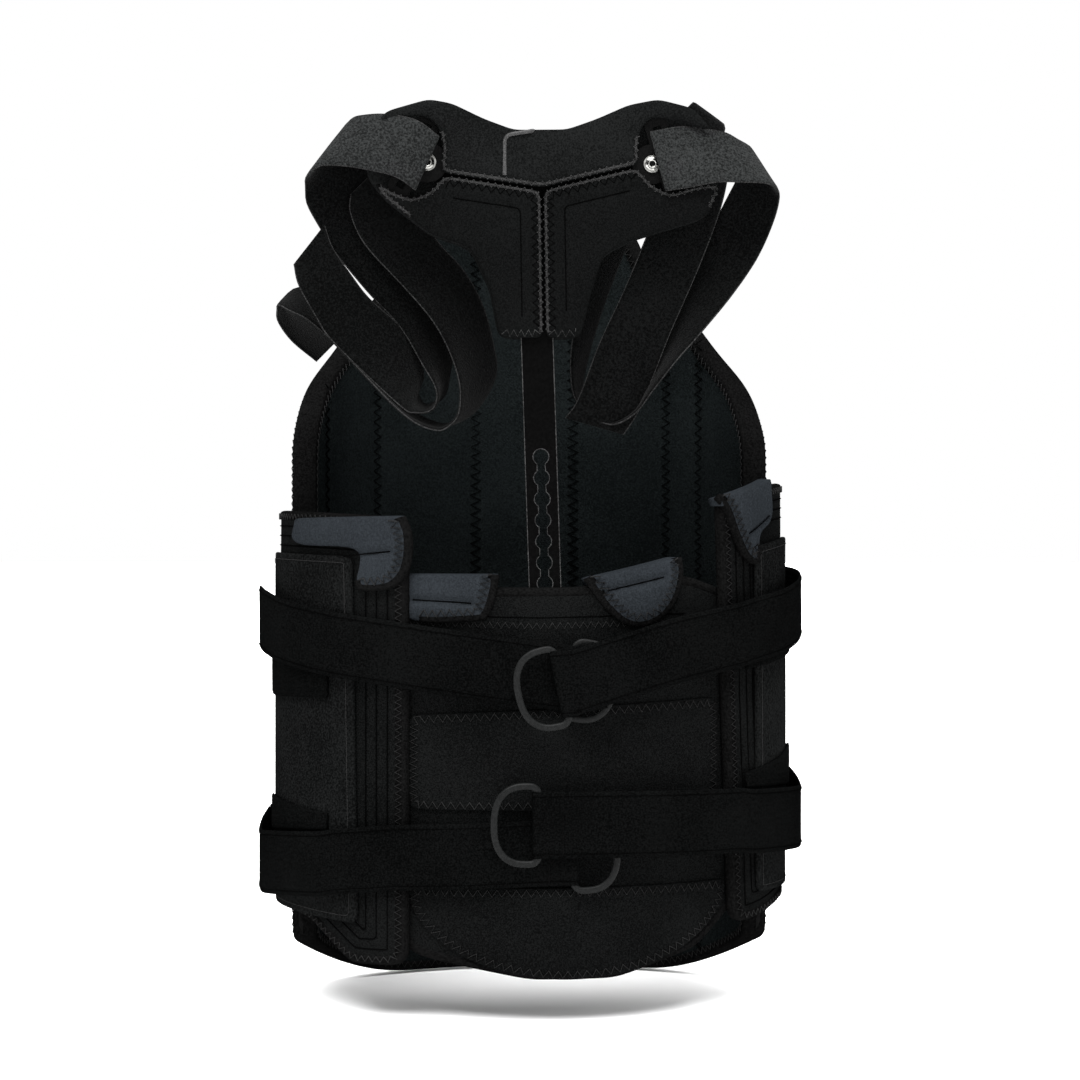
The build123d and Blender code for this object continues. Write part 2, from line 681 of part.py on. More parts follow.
# ------------------------------------------------------------ write every piece
pieces.update({
    "posterior_liner": posterior_liner, "posterior_stays": posterior_stays,
    "posterior_shell": posterior_shell, "posterior_cover": posterior_cover,
    "posterior_binding": posterior_binding,
    "abdominal_liner": abdominal_liner, "abdominal_shell": abdominal_shell,
    "abdominal_cover": abdominal_cover, "centre_panel": centre_panel,
    "abdominal_bib": abdominal_bib, "front_flap_left": front_flap_left,
    "front_flap_right": front_flap_right,
    "wing_liner_left": left_wing[0], "wing_shell_left": left_wing[1],
    "wing_cover_left": left_wing[2], "wing_liner_right": right_wing[0],
    "wing_shell_right": right_wing[1], "wing_cover_right": right_wing[2],
    "wing_flap_left": wing_flap_left, "wing_flap_right": wing_flap_right,
    "wing_pull_left": wing_pull_left, "wing_pull_right": wing_pull_right,
    "sternal_bar": sternal_bar, "bar_guide": bar_guide, "bar_lock_stud": bar_lock_stud,
    "sternal_frame": sternal_frame, "frame_rivets": frame_rivets,
    "yoke_pad": yoke_pad, "collar": collar, "yoke_wing_left": yoke_wing_left,
    "yoke_wing_right": yoke_wing_right, "collar_hook": collar_hook,
    "ear_left": ear_left, "ear_right": ear_right, "ear_rivets": ear_rivets,
    "ear_washers": ear_washers, "shoulder_strap_left": shoulder_strap_left,
    "shoulder_strap_right": shoulder_strap_right,
})
for name, piece in pieces.items():
    save(piece, name)
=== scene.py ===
import json
import math

import bmesh
import bpy
import numpy as np
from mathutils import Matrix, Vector
from mathutils.bvhtree import BVHTree
from mathutils.geometry import delaunay_2d_cdt


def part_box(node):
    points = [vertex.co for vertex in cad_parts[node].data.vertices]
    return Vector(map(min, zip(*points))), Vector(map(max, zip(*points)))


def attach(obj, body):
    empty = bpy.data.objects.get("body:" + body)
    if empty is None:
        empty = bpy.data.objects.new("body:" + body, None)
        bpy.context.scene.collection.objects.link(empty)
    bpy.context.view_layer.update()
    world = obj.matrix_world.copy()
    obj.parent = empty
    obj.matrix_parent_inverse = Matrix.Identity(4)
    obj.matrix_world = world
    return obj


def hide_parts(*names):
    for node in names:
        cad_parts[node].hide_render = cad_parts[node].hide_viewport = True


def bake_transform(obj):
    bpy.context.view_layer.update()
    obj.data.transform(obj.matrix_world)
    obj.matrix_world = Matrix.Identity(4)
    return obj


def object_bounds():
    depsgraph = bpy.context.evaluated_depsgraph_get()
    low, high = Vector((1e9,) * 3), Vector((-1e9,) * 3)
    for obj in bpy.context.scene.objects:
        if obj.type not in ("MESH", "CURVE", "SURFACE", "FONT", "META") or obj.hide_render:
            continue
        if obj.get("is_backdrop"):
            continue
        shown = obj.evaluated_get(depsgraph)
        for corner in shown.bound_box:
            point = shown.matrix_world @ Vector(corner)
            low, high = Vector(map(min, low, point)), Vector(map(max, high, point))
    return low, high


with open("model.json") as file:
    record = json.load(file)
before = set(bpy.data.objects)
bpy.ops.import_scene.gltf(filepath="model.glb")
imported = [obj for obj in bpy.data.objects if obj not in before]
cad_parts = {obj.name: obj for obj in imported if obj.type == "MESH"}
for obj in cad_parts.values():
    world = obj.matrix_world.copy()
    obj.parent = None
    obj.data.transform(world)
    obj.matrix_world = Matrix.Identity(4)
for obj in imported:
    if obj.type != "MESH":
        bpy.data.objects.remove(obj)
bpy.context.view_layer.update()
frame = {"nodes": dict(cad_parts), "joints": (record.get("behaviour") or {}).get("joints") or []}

nodes = frame["nodes"]
joints = {joint["name"]: joint for joint in frame["joints"]}
for leftover in ("Cube", "Light", "Camera"):
    if leftover in bpy.data.objects:
        bpy.data.objects.remove(bpy.data.objects[leftover])

# ------------------------------------------------------------------ the frame
# The brace's walls follow an oval trunk.  Its semi-axes come from the linings.
MM = 0.001
LINING = 5 * MM
lining_low, lining_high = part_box("posterior_liner")
half_depth = -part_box("abdominal_liner")[0].y - LINING
half_width = lining_high.x / math.sqrt(1 - (lining_low.y / (half_depth + LINING)) ** 2) - LINING
ARC = 0.5 * (half_width + half_depth)      # metres of wall per radian round the trunk
FRONT, BACK = 0.0, math.pi


def on_wall(middle):
    """A function that places (u, z, h): u metres round from an angle, h metres off the trunk."""
    def place(u, z, h):
        angle = middle + u / ARC
        return np.stack([(half_width + h) * np.sin(angle), -(half_depth + h) * np.cos(angle), z], -1)
    return place


def on_flat(front_y):
    """A function that places (u, z, h) on a flat layer: h metres in front of depth front_y."""
    def place(u, z, h):
        return np.stack([u, front_y - h, z], -1)
    return place


def wall_offset(points):
    """How far off the trunk's surface each point is."""
    low, high = np.full(len(points), -0.02), np.full(len(points), 0.06)
    for _ in range(40):
        h = 0.5 * (low + high)
        outside = (points[:, 0] / (half_width + h)) ** 2 + (points[:, 1] / (half_depth + h)) ** 2 > 1
        low, high = np.where(outside, h, low), np.where(outside, high, h)
    return h


def chains(follow):
    """The closed loops in a table that gives each point's next one."""
    loops = []
    while follow:
        start = next(iter(follow))
        loop, here = [start], follow.pop(start)
        while here != start and here in follow:
            loop.append(here)
            here = follow.pop(here)
        loops.append(loop)
    return loops


def loop_of(node, keep):
    """The boundary of a CAD node's faces whose every corner is kept, as ordered points."""
    mesh = nodes[node].data
    points = np.array([v.co for v in mesh.vertices])
    wanted = keep(points)
    key = {}
    names = [key.setdefault(tuple(np.round(p, 6)), len(key)) for p in points]
    spots = np.array(list(key))
    edges = []
    for face in mesh.polygons:
        corners = list(face.vertices)
        if all(wanted[c] for c in corners):
            edges += [(names[a], names[b]) for a, b in zip(corners, corners[1:] + corners[:1])]
    backward = {(b, a) for a, b in edges}
    return spots[max(chains(dict(edge for edge in edges if edge not in backward)), key=len)]


def wall_outline(node, middle):
    """A curved CAD wall's outline as (u, z), and its inner and outer offsets."""
    points = np.array([v.co for v in nodes[node].data.vertices])
    h = wall_offset(points)
    inner, outer = float(h.min()), float(h.max())
    loop = loop_of(node, lambda p: wall_offset(p) > outer - 0.0002)
    angle = np.arctan2(loop[:, 0] / (half_width + outer), -loop[:, 1] / (half_depth + outer))
    u = (np.mod(angle - middle + math.pi, 2 * math.pi) - math.pi) * ARC
    return np.stack([u, loop[:, 2]], -1), inner, outer


def flat_outline(node):
    """A flat CAD layer's outline as (x, z), and its back and front depths."""
    low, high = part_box(node)
    loop = loop_of(node, lambda p: p[:, 1] < low.y + 0.0001)
    return loop[:, [0, 2]], high.y, low.y


# ------------------------------------------------------------------ outlines
def unit(vectors, axis=1):
    """Vectors scaled to a length of one."""
    return vectors / np.maximum(np.linalg.norm(vectors, axis=axis, keepdims=True), 1e-12)


def run_of(path):
    """The distance along a polyline to each of its points."""
    return np.concatenate([[0], np.cumsum(np.linalg.norm(np.diff(path, axis=0), axis=1))])


def points_at(path, length, at):
    """A polyline's columns at given distances along it."""
    return np.stack([np.interp(at, length, path[:, k]) for k in range(path.shape[1])], -1)


def signed_area(path):
    """Twice a closed outline's area, above zero where it runs anticlockwise."""
    return np.sum(path[:, 0] * np.roll(path[:, 1], -1) - np.roll(path[:, 0], -1) * path[:, 1])


def resample(path, step, closed=True):
    """Points at an even step along a polyline."""
    path = np.asarray(path, float)
    if closed:
        path = np.vstack([path, path[:1]])
    length = run_of(path)
    count = max(3, int(round(length[-1] / step)))
    at = np.linspace(0, length[-1], count + 1)
    if closed:
        at = at[:-1]
    return points_at(path, length, at)


def part_of(path, keep):
    """The longest run of a closed path whose points are kept."""
    flags = keep(path)
    if flags.all():
        return path
    start = int(np.argmin(flags))
    path, flags = np.roll(path, -start, 0), np.roll(flags, -start)
    best, run = [], []
    for point, flag in zip(path, flags):
        run = run + [point] if flag else []
        if len(run) > len(best):
            best = run
    return np.array(best)


def smooth(path, rounds, closed=True):
    """Evens out the corners of a polyline."""
    path = np.asarray(path, float)
    for _ in range(rounds):
        if closed:
            path = 0.25 * np.roll(path, 1, 0) + 0.5 * path + 0.25 * np.roll(path, -1, 0)
        else:
            path[1:-1] = 0.25 * path[:-2] + 0.5 * path[1:-1] + 0.25 * path[2:]
    return path


def inward(path):
    """Unit normals of a closed outline that point into it."""
    along = unit(np.roll(path, -1, 0) - np.roll(path, 1, 0))
    return np.stack([-along[:, 1], along[:, 0]], -1) * (1 if signed_area(path) > 0 else -1)


def inset(path, distance):
    """An outline moved inward, without the loops its tight corners would make."""
    moved = path + inward(path) * distance
    clear = distance_to(moved, path) > 0.92 * distance
    return smooth(moved[clear], 2)


def distance_to(points, path, closed=True):
    """Distance of each 2-D point to a polyline."""
    path = np.asarray(path, float)
    a, b = (path, np.roll(path, -1, 0)) if closed else (path[:-1], path[1:])
    best = np.full(len(points), 1e9)
    for p, q in zip(a, b):
        line = q - p
        t = np.clip(((points - p) @ line) / max(float(line @ line), 1e-12), 0, 1)
        best = np.minimum(best, np.linalg.norm(points - p - t[:, None] * line, axis=1))
    return best


def inside(points, path):
    """Whether each 2-D point lies in a closed outline."""
    a, b = path, np.roll(path, -1, 0)
    result = np.zeros(len(points), bool)
    x, y = points[:, 0], points[:, 1]
    for (x0, y0), (x1, y1) in zip(a, b):
        if y0 != y1:
            crosses = (y0 > y) != (y1 > y)
            result ^= crosses & (x < (x1 - x0) * (y - y0) / (y1 - y0) + x0)
    return result


def bumps(points, scale, seed):
    """Slow, smooth height noise from -1 to 1."""
    rng = np.random.default_rng(seed)
    total = np.zeros(len(points))
    for _ in range(7):
        wave = rng.normal(size=points.shape[1]) / scale
        total += np.sin(points @ wave * 2.2 + rng.uniform(0, 6.3))
    return total / 4


# ------------------------------------------------------------------ materials
PAINTED_LIGHT_GAIN = 4.5           # painted highlight: how much paler the lit front run of a strap is painted
WEAR_SCALE = 18          # worn patches to a metre
WEAR_SHARE = 0.28        # how much of the mottling is wear; the rest is grain
TONE_SPAN = (0.41, 0.6)  # the noise levels that show the dark tone and the light one
ROUGHNESS_SPAN = 0.22    # how far wear moves the roughness


def fill(node, inputs):
    """Sets a shader node's inputs, or links them to other nodes' outputs."""
    for key, value in inputs.items():
        if isinstance(value, bpy.types.NodeSocket):
            node.id_data.links.new(value, node.inputs[key])
        else:
            node.inputs[key].default_value = value


def shader_node(tree, kind, inputs, **settings):
    """A new shader node with its settings made and its inputs filled."""
    node = tree.nodes.new(f"ShaderNode{kind}")
    for name, value in settings.items():
        setattr(node, name, value)
    fill(node, inputs)
    return node


def arithmetic(tree, operation, *values):
    """The output of one arithmetic node."""
    return shader_node(tree, "Math", dict(enumerate(values)), operation=operation).outputs[0]


def painted_light_band(tree, colour):
    """A colour painted paler where a piece's attribute marks it as lit: painted light."""
    painted_light = shader_node(tree, "Attribute", {}, attribute_name="painted_light").outputs["Fac"]
    paler = arithmetic(tree, "MULTIPLY_ADD", painted_light, PAINTED_LIGHT_GAIN, 1.0)
    return shader_node(tree, "VectorMath", {0: colour, "Scale": paler}, operation="SCALE").outputs[0]


def paint(name, dark, light, roughness, grain, depth, weave=None, sheen=0.0, metallic=0.0,
          shine=0.0, painted_light=False):
    """A procedural material: two tones mixed by grain, with worn roughness and a fine bump.

    grain is the size in metres of the finest detail and depth its height.  weave, if
    given, is (rib spacing, strength) of the ribs that run along the piece's UV length.
    """
    material = bpy.data.materials.new(name)
    material.use_nodes = True
    tree = material.node_tree
    place = shader_node(tree, "TexCoord", {}).outputs
    fine, wear = (
        shader_node(tree, "TexNoise", {"Scale": scale, "Detail": detail,
                                       "Vector": place["Object"]}).outputs["Fac"]
        for scale, detail in ((1 / grain, 3), (WEAR_SCALE, 4)))
    height = fine
    if weave:
        spacing, strength = weave
        ribs = shader_node(tree, "TexWave", {
            "Scale": 1 / (spacing * 20 / math.pi), "Distortion": 0.6, "Detail": 1,
            "Vector": place["UV"]}, bands_direction="X").outputs["Fac"]
        height = arithmetic(tree, "ADD", fine, arithmetic(tree, "MULTIPLY", ribs, strength))
    tone = arithmetic(tree, "ADD", arithmetic(tree, "MULTIPLY", fine, 1 - WEAR_SHARE),
                      arithmetic(tree, "MULTIPLY", wear, WEAR_SHARE))
    ramp = shader_node(tree, "ValToRGB", {"Fac": tone})
    for stop, level, colour in zip(ramp.color_ramp.elements, TONE_SPAN, (dark, light)):
        stop.position = level
        stop.color = (*colour, 1)
    colour = ramp.outputs["Color"]
    bump = shader_node(tree, "Bump", {"Strength": 0.8, "Distance": depth, "Height": height})
    fill(tree.nodes["Principled BSDF"], {
        # painted light: the marked lit band of a piece is painted paler
        "Base Color": painted_light_band(tree, colour) if painted_light else colour,
        "Roughness": arithmetic(tree, "MULTIPLY_ADD", wear, ROUGHNESS_SPAN,
                                roughness - ROUGHNESS_SPAN / 2),
        "Normal": bump.outputs["Normal"],
        "Metallic": metallic,
        "Sheen Weight": sheen,
        "Sheen Roughness": 0.5,
        "Specular IOR Level": shine,
    })
    return material


EXPOSURE = 0.45     # the studio's light lifts a front face by about 1 / EXPOSURE


def grey(value, tint=(1.0, 1.0, 1.0)):
    """A linear colour that shows at a display level of 0 to 255 in the studio."""
    level = value / 255
    linear = ((level + 0.055) / 1.055) ** 2.4 if level > 0.04 else level / 12.92
    return tuple(linear * t * EXPOSURE for t in tint)


NAVY = (0.8, 1.0, 1.03)
SLATE = (0.86, 1.0, 1.16)
COOL = (0.95, 1.0, 1.0)
looks = {
    "lining": paint("lining_brushed", grey(19, NAVY), grey(34, NAVY), 0.9, 1.1 * MM, 0.5 * MM),
    "flap": paint("flap_ribbed", grey(38, SLATE), grey(52, SLATE), 0.9, 0.9 * MM, 0.4 * MM,
                  weave=(1.8 * MM, 0.6)),
    "neoprene": paint("neoprene_knit", grey(12, COOL), grey(22, COOL), 0.88, 0.9 * MM, 0.2 * MM),
    "collar": paint("collar_plush", grey(16, COOL), grey(31, COOL), 0.92, 1.0 * MM, 0.3 * MM),
    "loop": paint("loop_fuzz", grey(11, COOL), grey(25, COOL), 0.95, 0.9 * MM, 0.7 * MM),
    "binding": paint("binding_knit", grey(10), grey(22), 0.85, 1.2 * MM, 0.3 * MM),
    "webbing": paint("webbing_smooth", grey(6, COOL), grey(17, COOL), 0.8, 1.0 * MM, 0.3 * MM,
                     weave=(1.6 * MM, 0.35)),
    "pull": paint("pull_webbing", grey(11, COOL), grey(29, COOL), 0.85, 1.2 * MM, 0.5 * MM,
                  weave=(1.8 * MM, 0.5)),
    # painted light: the front run of each shoulder strap is painted paler, as if lit from above
    "strap": paint("shoulder_ribbon", grey(6, COOL), grey(20, COOL), 0.95, 1.2 * MM, 1.0 * MM,
                   sheen=0.02, painted_light=True),
    # black thread painted mid grey: the stitches are real, their paleness is a painted highlight of light
    # glinting on them
    "thread": paint("thread_black_painted_glints", grey(30), grey(52), 0.7, 0.6 * MM, 0.1 * MM),
    "thread_dark": paint("thread_ink", grey(3), grey(9), 0.8, 0.6 * MM, 0.1 * MM),
    "thread_light": paint("thread_grey", grey(30), grey(78), 0.7, 0.6 * MM, 0.1 * MM),
    "edge": paint("edge_yarn", grey(28), grey(66), 0.8, 0.8 * MM, 0.2 * MM),
    "bar": paint("bar_anodised", grey(7), grey(11), 0.5, 1.5 * MM, 0.02 * MM, shine=0.004),
    # painted highlight: the pale colour of the bar's rounded edges and rims stands for light caught on them
    "bar_edge": paint("bar_painted_highlight", grey(40), grey(75), 0.4, 1.5 * MM, 0.02 * MM, shine=0.05),
    "plastic": paint("ear_nylon", grey(10), grey(17), 0.5, 1.5 * MM, 0.05 * MM, shine=0.03),
    "ring": paint("ring_acetal", grey(23, COOL), grey(32, COOL), 0.45, 1.5 * MM, 0.05 * MM, shine=0.05),
    "wire": paint("wire_steel", grey(56), grey(84), 0.45, 1.0 * MM, 0.02 * MM, shine=0.08),
    "chrome": paint("rivet_nickel", (0.2, 0.2, 0.19), (0.42, 0.42, 0.4), 0.2, 2.0 * MM, 0.01 * MM,
                    metallic=1.0),
}


# ------------------------------------------------------------------ meshes
def mesh_piece(name, points, faces, look, uv=None):
    """A smooth-shaded mesh piece, with UVs in metres if given per vertex."""
    mesh = bpy.data.meshes.new(name)
    mesh.from_pydata([tuple(p) for p in points], [], faces)
    mesh.polygons.foreach_set("use_smooth", [True] * len(mesh.polygons))
    if uv is not None:
        layer = mesh.uv_layers.new(name="UVMap")
        corner = np.zeros(len(mesh.loops), np.int32)
        mesh.loops.foreach_get("vertex_index", corner)
        layer.data.foreach_set("uv", np.asarray(uv, np.float32)[corner].ravel())
    mesh.materials.append(looks[look])
    piece = bpy.data.objects.new(name, mesh)
    bpy.context.scene.collection.objects.link(piece)
    return piece


def loft(rings, closed_path=False):
    """Vertices and faces that join rings of equal length into a skin, capped at open ends."""
    rings = np.asarray(rings)
    count, size = rings.shape[:2]
    faces = []
    for i in range(count if closed_path else count - 1):
        j = (i + 1) % count
        for k in range(size):
            n = (k + 1) % size
            faces.append((i * size + k, i * size + n, j * size + n, j * size + k))
    if not closed_path:
        faces.append(tuple(range(size))[::-1])
        faces.append(tuple((count - 1) * size + k for k in range(size)))
    return rings.reshape(-1, 3), faces


def edge_drop(distance, radius):
    """How far a rounded edge falls below the face, by distance from the edge."""
    t = np.clip(1 - distance / radius, 0, 1)
    return radius * (1 - np.sqrt(np.maximum(1 - t * t, 0)))


def filled(rim, step, edge):
    """Points and triangles that fill an outline, with rows where its edge is rounded."""
    normal = inward(rim)
    low, high = rim.min(0), rim.max(0)
    across, up = np.meshgrid(np.arange(low[0], high[0], step), np.arange(low[1], high[1], step))
    across = across + 0.5 * step * (np.arange(across.shape[0]) % 2)[:, None]
    grid = np.stack([across.ravel(), up.ravel()], -1)
    grid = grid[inside(grid, rim)]
    grid = grid[distance_to(grid, rim) > edge + 0.6 * step]
    rows = [rim + normal * edge * part for part in (0.12, 0.4, 1.0)]
    spots = np.vstack([rim] + [row[inside(row, rim)] for row in rows] + [grid])
    ring = [(i, (i + 1) % len(rim)) for i in range(len(rim))]
    points, _, triangles = delaunay_2d_cdt([Vector(p) for p in spots], ring, [], 1, 1e-7)[:3]
    return np.array([(p.x, p.y) for p in points]), [tuple(t) for t in triangles]


def pad(name, outline, place, inner, outer, look, step=3 * MM, edge=2 * MM, crown=0.0,
        channels=(), ripple=0.3 * MM, seed=1, body="root"):
    """A padded layer: two faces that meet in a rounded edge, with stitched channels.

    channels lists (path, depth, half width) in the layer's own plane.  crown is how
    far the middle of the front face stands above its edges.
    """
    rim = resample(outline, step)
    uz, triangles = filled(rim, step, edge)
    gap = distance_to(uz, rim)
    middle = 0.5 * (inner + outer)
    radius = min(edge, 0.999 * (outer - inner) / 2)
    fall = edge_drop(gap * radius / edge, radius)
    raise_ = crown * (1 - np.exp(-np.maximum(gap - edge, 0) / (8 * MM)))
    front = outer - fall + raise_ + ripple * bumps(uz, 0.035, seed) * np.clip(gap / (10 * MM), 0, 1)
    for path, depth, half in channels:
        front -= depth * np.exp(-(distance_to(uz, path, False) / half) ** 2)
    front = np.maximum(front, middle)
    back = inner + fall
    on_rim = gap < 1e-7
    front[on_rim] = middle
    count = len(uz)
    behind = np.where(on_rim, np.arange(count), np.arange(count) + count)
    points = np.vstack([place(uz[:, 0], uz[:, 1], front), place(uz[:, 0], uz[:, 1], back)])
    faces = triangles + [tuple(behind[c] for c in reversed(t)) for t in triangles]
    used = np.unique(np.array(faces))
    renumber = np.zeros(2 * count, int)
    renumber[used] = np.arange(len(used))
    faces = [tuple(int(renumber[c]) for c in f) for f in faces]
    piece = mesh_piece(name, points[used], faces, look, np.vstack([uz, uz])[used])
    turn_outward(piece)
    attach(piece, body)
    return piece


def turn_outward(piece):
    """Turns a closed mesh inside out if its faces point into it."""
    mesh = piece.data
    co = np.array([v.co for v in mesh.vertices])
    volume = 0.0
    for face in mesh.polygons:
        corners = co[list(face.vertices)]
        for k in range(1, len(corners) - 1):
            volume += float(np.dot(corners[0], np.cross(corners[k], corners[k + 1])))
    if volume < 0:
        mesh.flip_normals()


def tube(name, path, radius, look, body="root", closed=False, sides=6):
    """A round cord mesh along a 3-D polyline."""
    path = np.asarray(path, float)
    step = np.roll(path, -1, 0) - np.roll(path, 1, 0) if closed else np.gradient(path, axis=0)
    along = unit(step)
    askew = np.array([0.31, 0.22, 0.92])      # a direction that no seam runs along for long
    first = unit(np.cross(along, askew))
    second = np.cross(along, first)
    turn = np.linspace(0, 2 * math.pi, sides, endpoint=False)
    rings = path[:, None] + radius * (np.cos(turn)[None, :, None] * first[:, None]
                                      + np.sin(turn)[None, :, None] * second[:, None])
    piece = mesh_piece(name, *loft(rings, closed_path=closed), look)
    if body:
        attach(piece, body)
    return piece


def bind_edge(name, outline, place, inner, outer, width, look="binding", closed=True,
              swell=0.5 * MM):
    """A binding tape folded over an edge, from width inside one face round to the other."""
    rim = resample(outline, 3 * MM, closed)
    normal = inward(rim) if closed else side_of(rim)
    middle, half = 0.5 * (inner + outer), 0.5 * (outer - inner) + swell
    turn = np.linspace(math.pi / 2, -math.pi / 2, 9)
    section = [(width, half * 0.55), (width, half * 0.96), (width * 0.55, half * 1.04)]
    section += [(0.8 * MM - 1.4 * MM * math.cos(a), half * math.sin(a)) for a in turn]
    section += [(width * 0.55, -half * 1.04), (width, -half * 0.96), (width, -half * 0.55)]
    rings = []
    for offset, height in section:
        spot = rim + normal * offset
        rings.append(place(spot[:, 0], spot[:, 1], np.full(len(rim), middle + height)))
    rings = np.stack(rings, 1)
    piece = mesh_piece(name, *loft(rings, closed_path=closed), look)
    turn_outward(piece)
    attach(piece, "root")
    return piece


def side_of(path):
    """Unit normals to the left of an open polyline."""
    along = unit(np.gradient(path, axis=0))
    return np.stack([-along[:, 1], along[:, 0]], -1)


def laid_on(points, piece):
    """Points of a seam moved onto the front of a piece that faces along -Y."""
    mesh = piece.data
    tree = BVHTree.FromPolygons([v.co for v in mesh.vertices], [tuple(f.vertices) for f in mesh.polygons])
    result = points.copy()
    for row in result:
        spot = tree.ray_cast(Vector((row[0], -0.3, row[2])), Vector((0, 1, 0)))[0]
        if spot is not None:
            row[1] = spot.y - 0.1 * MM
    return result


def stitch(name, path, place, height, look="thread", pitch=3.2 * MM, swing=1.6 * MM,
           radius=0.28 * MM, closed=False, body="root", on=None):
    """A zigzag seam along a path at a height, or laid on a piece; a plain one if swing is 0."""
    points = resample(path, pitch / 2 if swing else pitch / 3, closed)
    normal = inward(points) if closed else side_of(points)
    sign = np.where(np.arange(len(points)) % 2, 1.0, -1.0)[:, None]
    points = points + normal * sign * swing
    spots = place(points[:, 0], points[:, 1], np.full(len(points), height))
    if on is not None:
        spots = laid_on(spots, on)
    return tube(name, spots, radius, look, body, closed, 4)


def ribbon(name, left, right, thickness, look, body="root", across=12, seed=3,
           flutter=0.4 * MM):
    """A flat strap between two 3-D edge lines, with soft edges and a slightly uneven face."""
    share = np.concatenate([[0, 0.02], np.linspace(0.06, 0.94, across), [0.98, 1]])
    share = share[None, :, None]
    middle = left[:, None] * (1 - share) + right[:, None] * share
    along = np.gradient(middle, axis=0)
    sideways = (right - left)[:, None] + 0 * along
    normal = unit(np.cross(along, sideways), 2)
    half = thickness / 2 * np.array([0.15, 0.75] + [1.0] * across + [0.75, 0.15])[None, :, None]
    shape = middle.shape[:2]
    wave = flutter * bumps(middle.reshape(-1, 3), 0.03, seed).reshape(*shape, 1)
    front, back = middle + normal * (half + wave), middle - normal * (half - wave)
    rings = np.concatenate([front, back[:, ::-1]], axis=1)
    points, faces = loft(rings)
    run = run_of(left)
    wide = np.linalg.norm(right - left, axis=1)
    line = share[0, :, 0]
    u = np.concatenate([wide[:, None] * line, wide[:, None] * line[::-1]], axis=1)
    uv = np.stack([u, np.repeat(run[:, None], u.shape[1], 1)], -1).reshape(-1, 2)
    piece = mesh_piece(name, points, faces, look, uv)
    turn_outward(piece)
    if body:
        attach(piece, body)
    return piece


def rounded(path, fine=10):
    """A smooth curve through every point of a polyline."""
    padded = np.vstack([2 * path[0] - path[1], path, 2 * path[-1] - path[-2]])
    result = []
    for i in range(1, len(padded) - 2):
        a, b, c, d = padded[i - 1:i + 3]
        for t in np.linspace(0, 1, fine, endpoint=False):
            result.append(0.5 * (2 * b + (c - a) * t + (2 * a - 5 * b + 4 * c - d) * t * t
                                 + (3 * b - a - 3 * c + d) * t ** 3))
    result.append(padded[-2])
    return np.array(result)


def facing_in(place):
    """The same layer seen from the trunk: heights count inward."""
    return lambda u, z, h: place(u, z, -h)


def wall_layer(node, middle, step=3 * MM, rounds=2):
    """A wall layer's evened outline, and its inner and outer offsets."""
    outline, inner, outer = wall_outline(node, middle)
    return smooth(resample(outline, step), rounds), inner, outer


def put(node, look, slot):
    """Gives a CAD node that is shown as it is its material; its slot is not used."""
    piece = nodes[node]
    piece.data.materials.clear()
    piece.data.materials.append(looks[look])


def stand_for(piece, slot, *cad):
    """Hides the CAD nodes that a piece replaces; its slot is not used."""
    if cad:
        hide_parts(*cad)
    return piece


def soft(piece):
    """Returns a padded piece as it is."""
    return piece


# ------------------------------------------------------------------ back panel
def upright(u, outline):
    """A vertical line at u from the bottom of an outline to its top."""
    near = outline[np.abs(outline[:, 0] - u) < 9 * MM][:, 1]
    return np.array([(u, near.min() + 6 * MM), (u, near.max() - 6 * MM)])


def back_panel():
    """The back panel: a brushed lining and a plain cover, seamed in upright bands."""
    wall = on_wall(BACK)
    outline, inner, outer = wall_layer("posterior_liner", BACK, rounds=12)
    seam_x = np.array([-131, -99, -33, 33, 94, 114]) * MM
    seams = [upright(-ARC * math.asin(x / half_width), outline) for x in seam_x]
    lining = pad("back_lining", outline, facing_in(wall), -outer, -inner, "lining", 3.5 * MM,
                 edge=3 * MM, crown=1.2 * MM, channels=[(s, 1.6 * MM, 4 * MM) for s in seams], seed=11)
    soft(stand_for(lining, "lining", "posterior_liner"))
    for number, seam in enumerate(seams):
        stitch(f"back_lining_seam_{number}", seam, facing_in(wall), -inner + 0.1 * MM,
               "thread_dark", 6.5 * MM, 3.0 * MM, 0.6 * MM)
    cover_inner = wall_outline("posterior_cover", BACK)[1]
    cover_outer = wall_outline("posterior_binding", BACK)[2]
    stay_seams = seams[2:4]
    cover = pad("back_cover", outline, wall, cover_inner, cover_outer - 0.6 * MM, "neoprene",
                4.5 * MM, crown=0.8 * MM, seed=12,
                channels=[(s, -1.5 * MM, 9 * MM) for s in stay_seams])
    soft(stand_for(cover, "neoprene", "posterior_cover"))
    for number, seam in enumerate(stay_seams):
        for side in (-1, 1):
            line = seam + np.array([side * 16 * MM, 0])
            stitch(f"back_cover_seam_{number}_{side + 1}", line, wall, cover_outer + 0.4 * MM,
                   swing=0.0, radius=0.35 * MM)
    tape = bind_edge("back_binding", outline, wall, inner, cover_outer, 6 * MM)
    stand_for(tape, "binding", "posterior_binding")
    edge_line = inset(outline, 4 * MM)
    for name, place, height in (("back_binding_seam", facing_in(wall), -inner),
                                ("back_binding_seam_out", wall, cover_outer)):
        stitch(name, edge_line, place, height + 1.2 * MM, "thread", 4.5 * MM, 1.9 * MM, 0.4 * MM,
               closed=True)


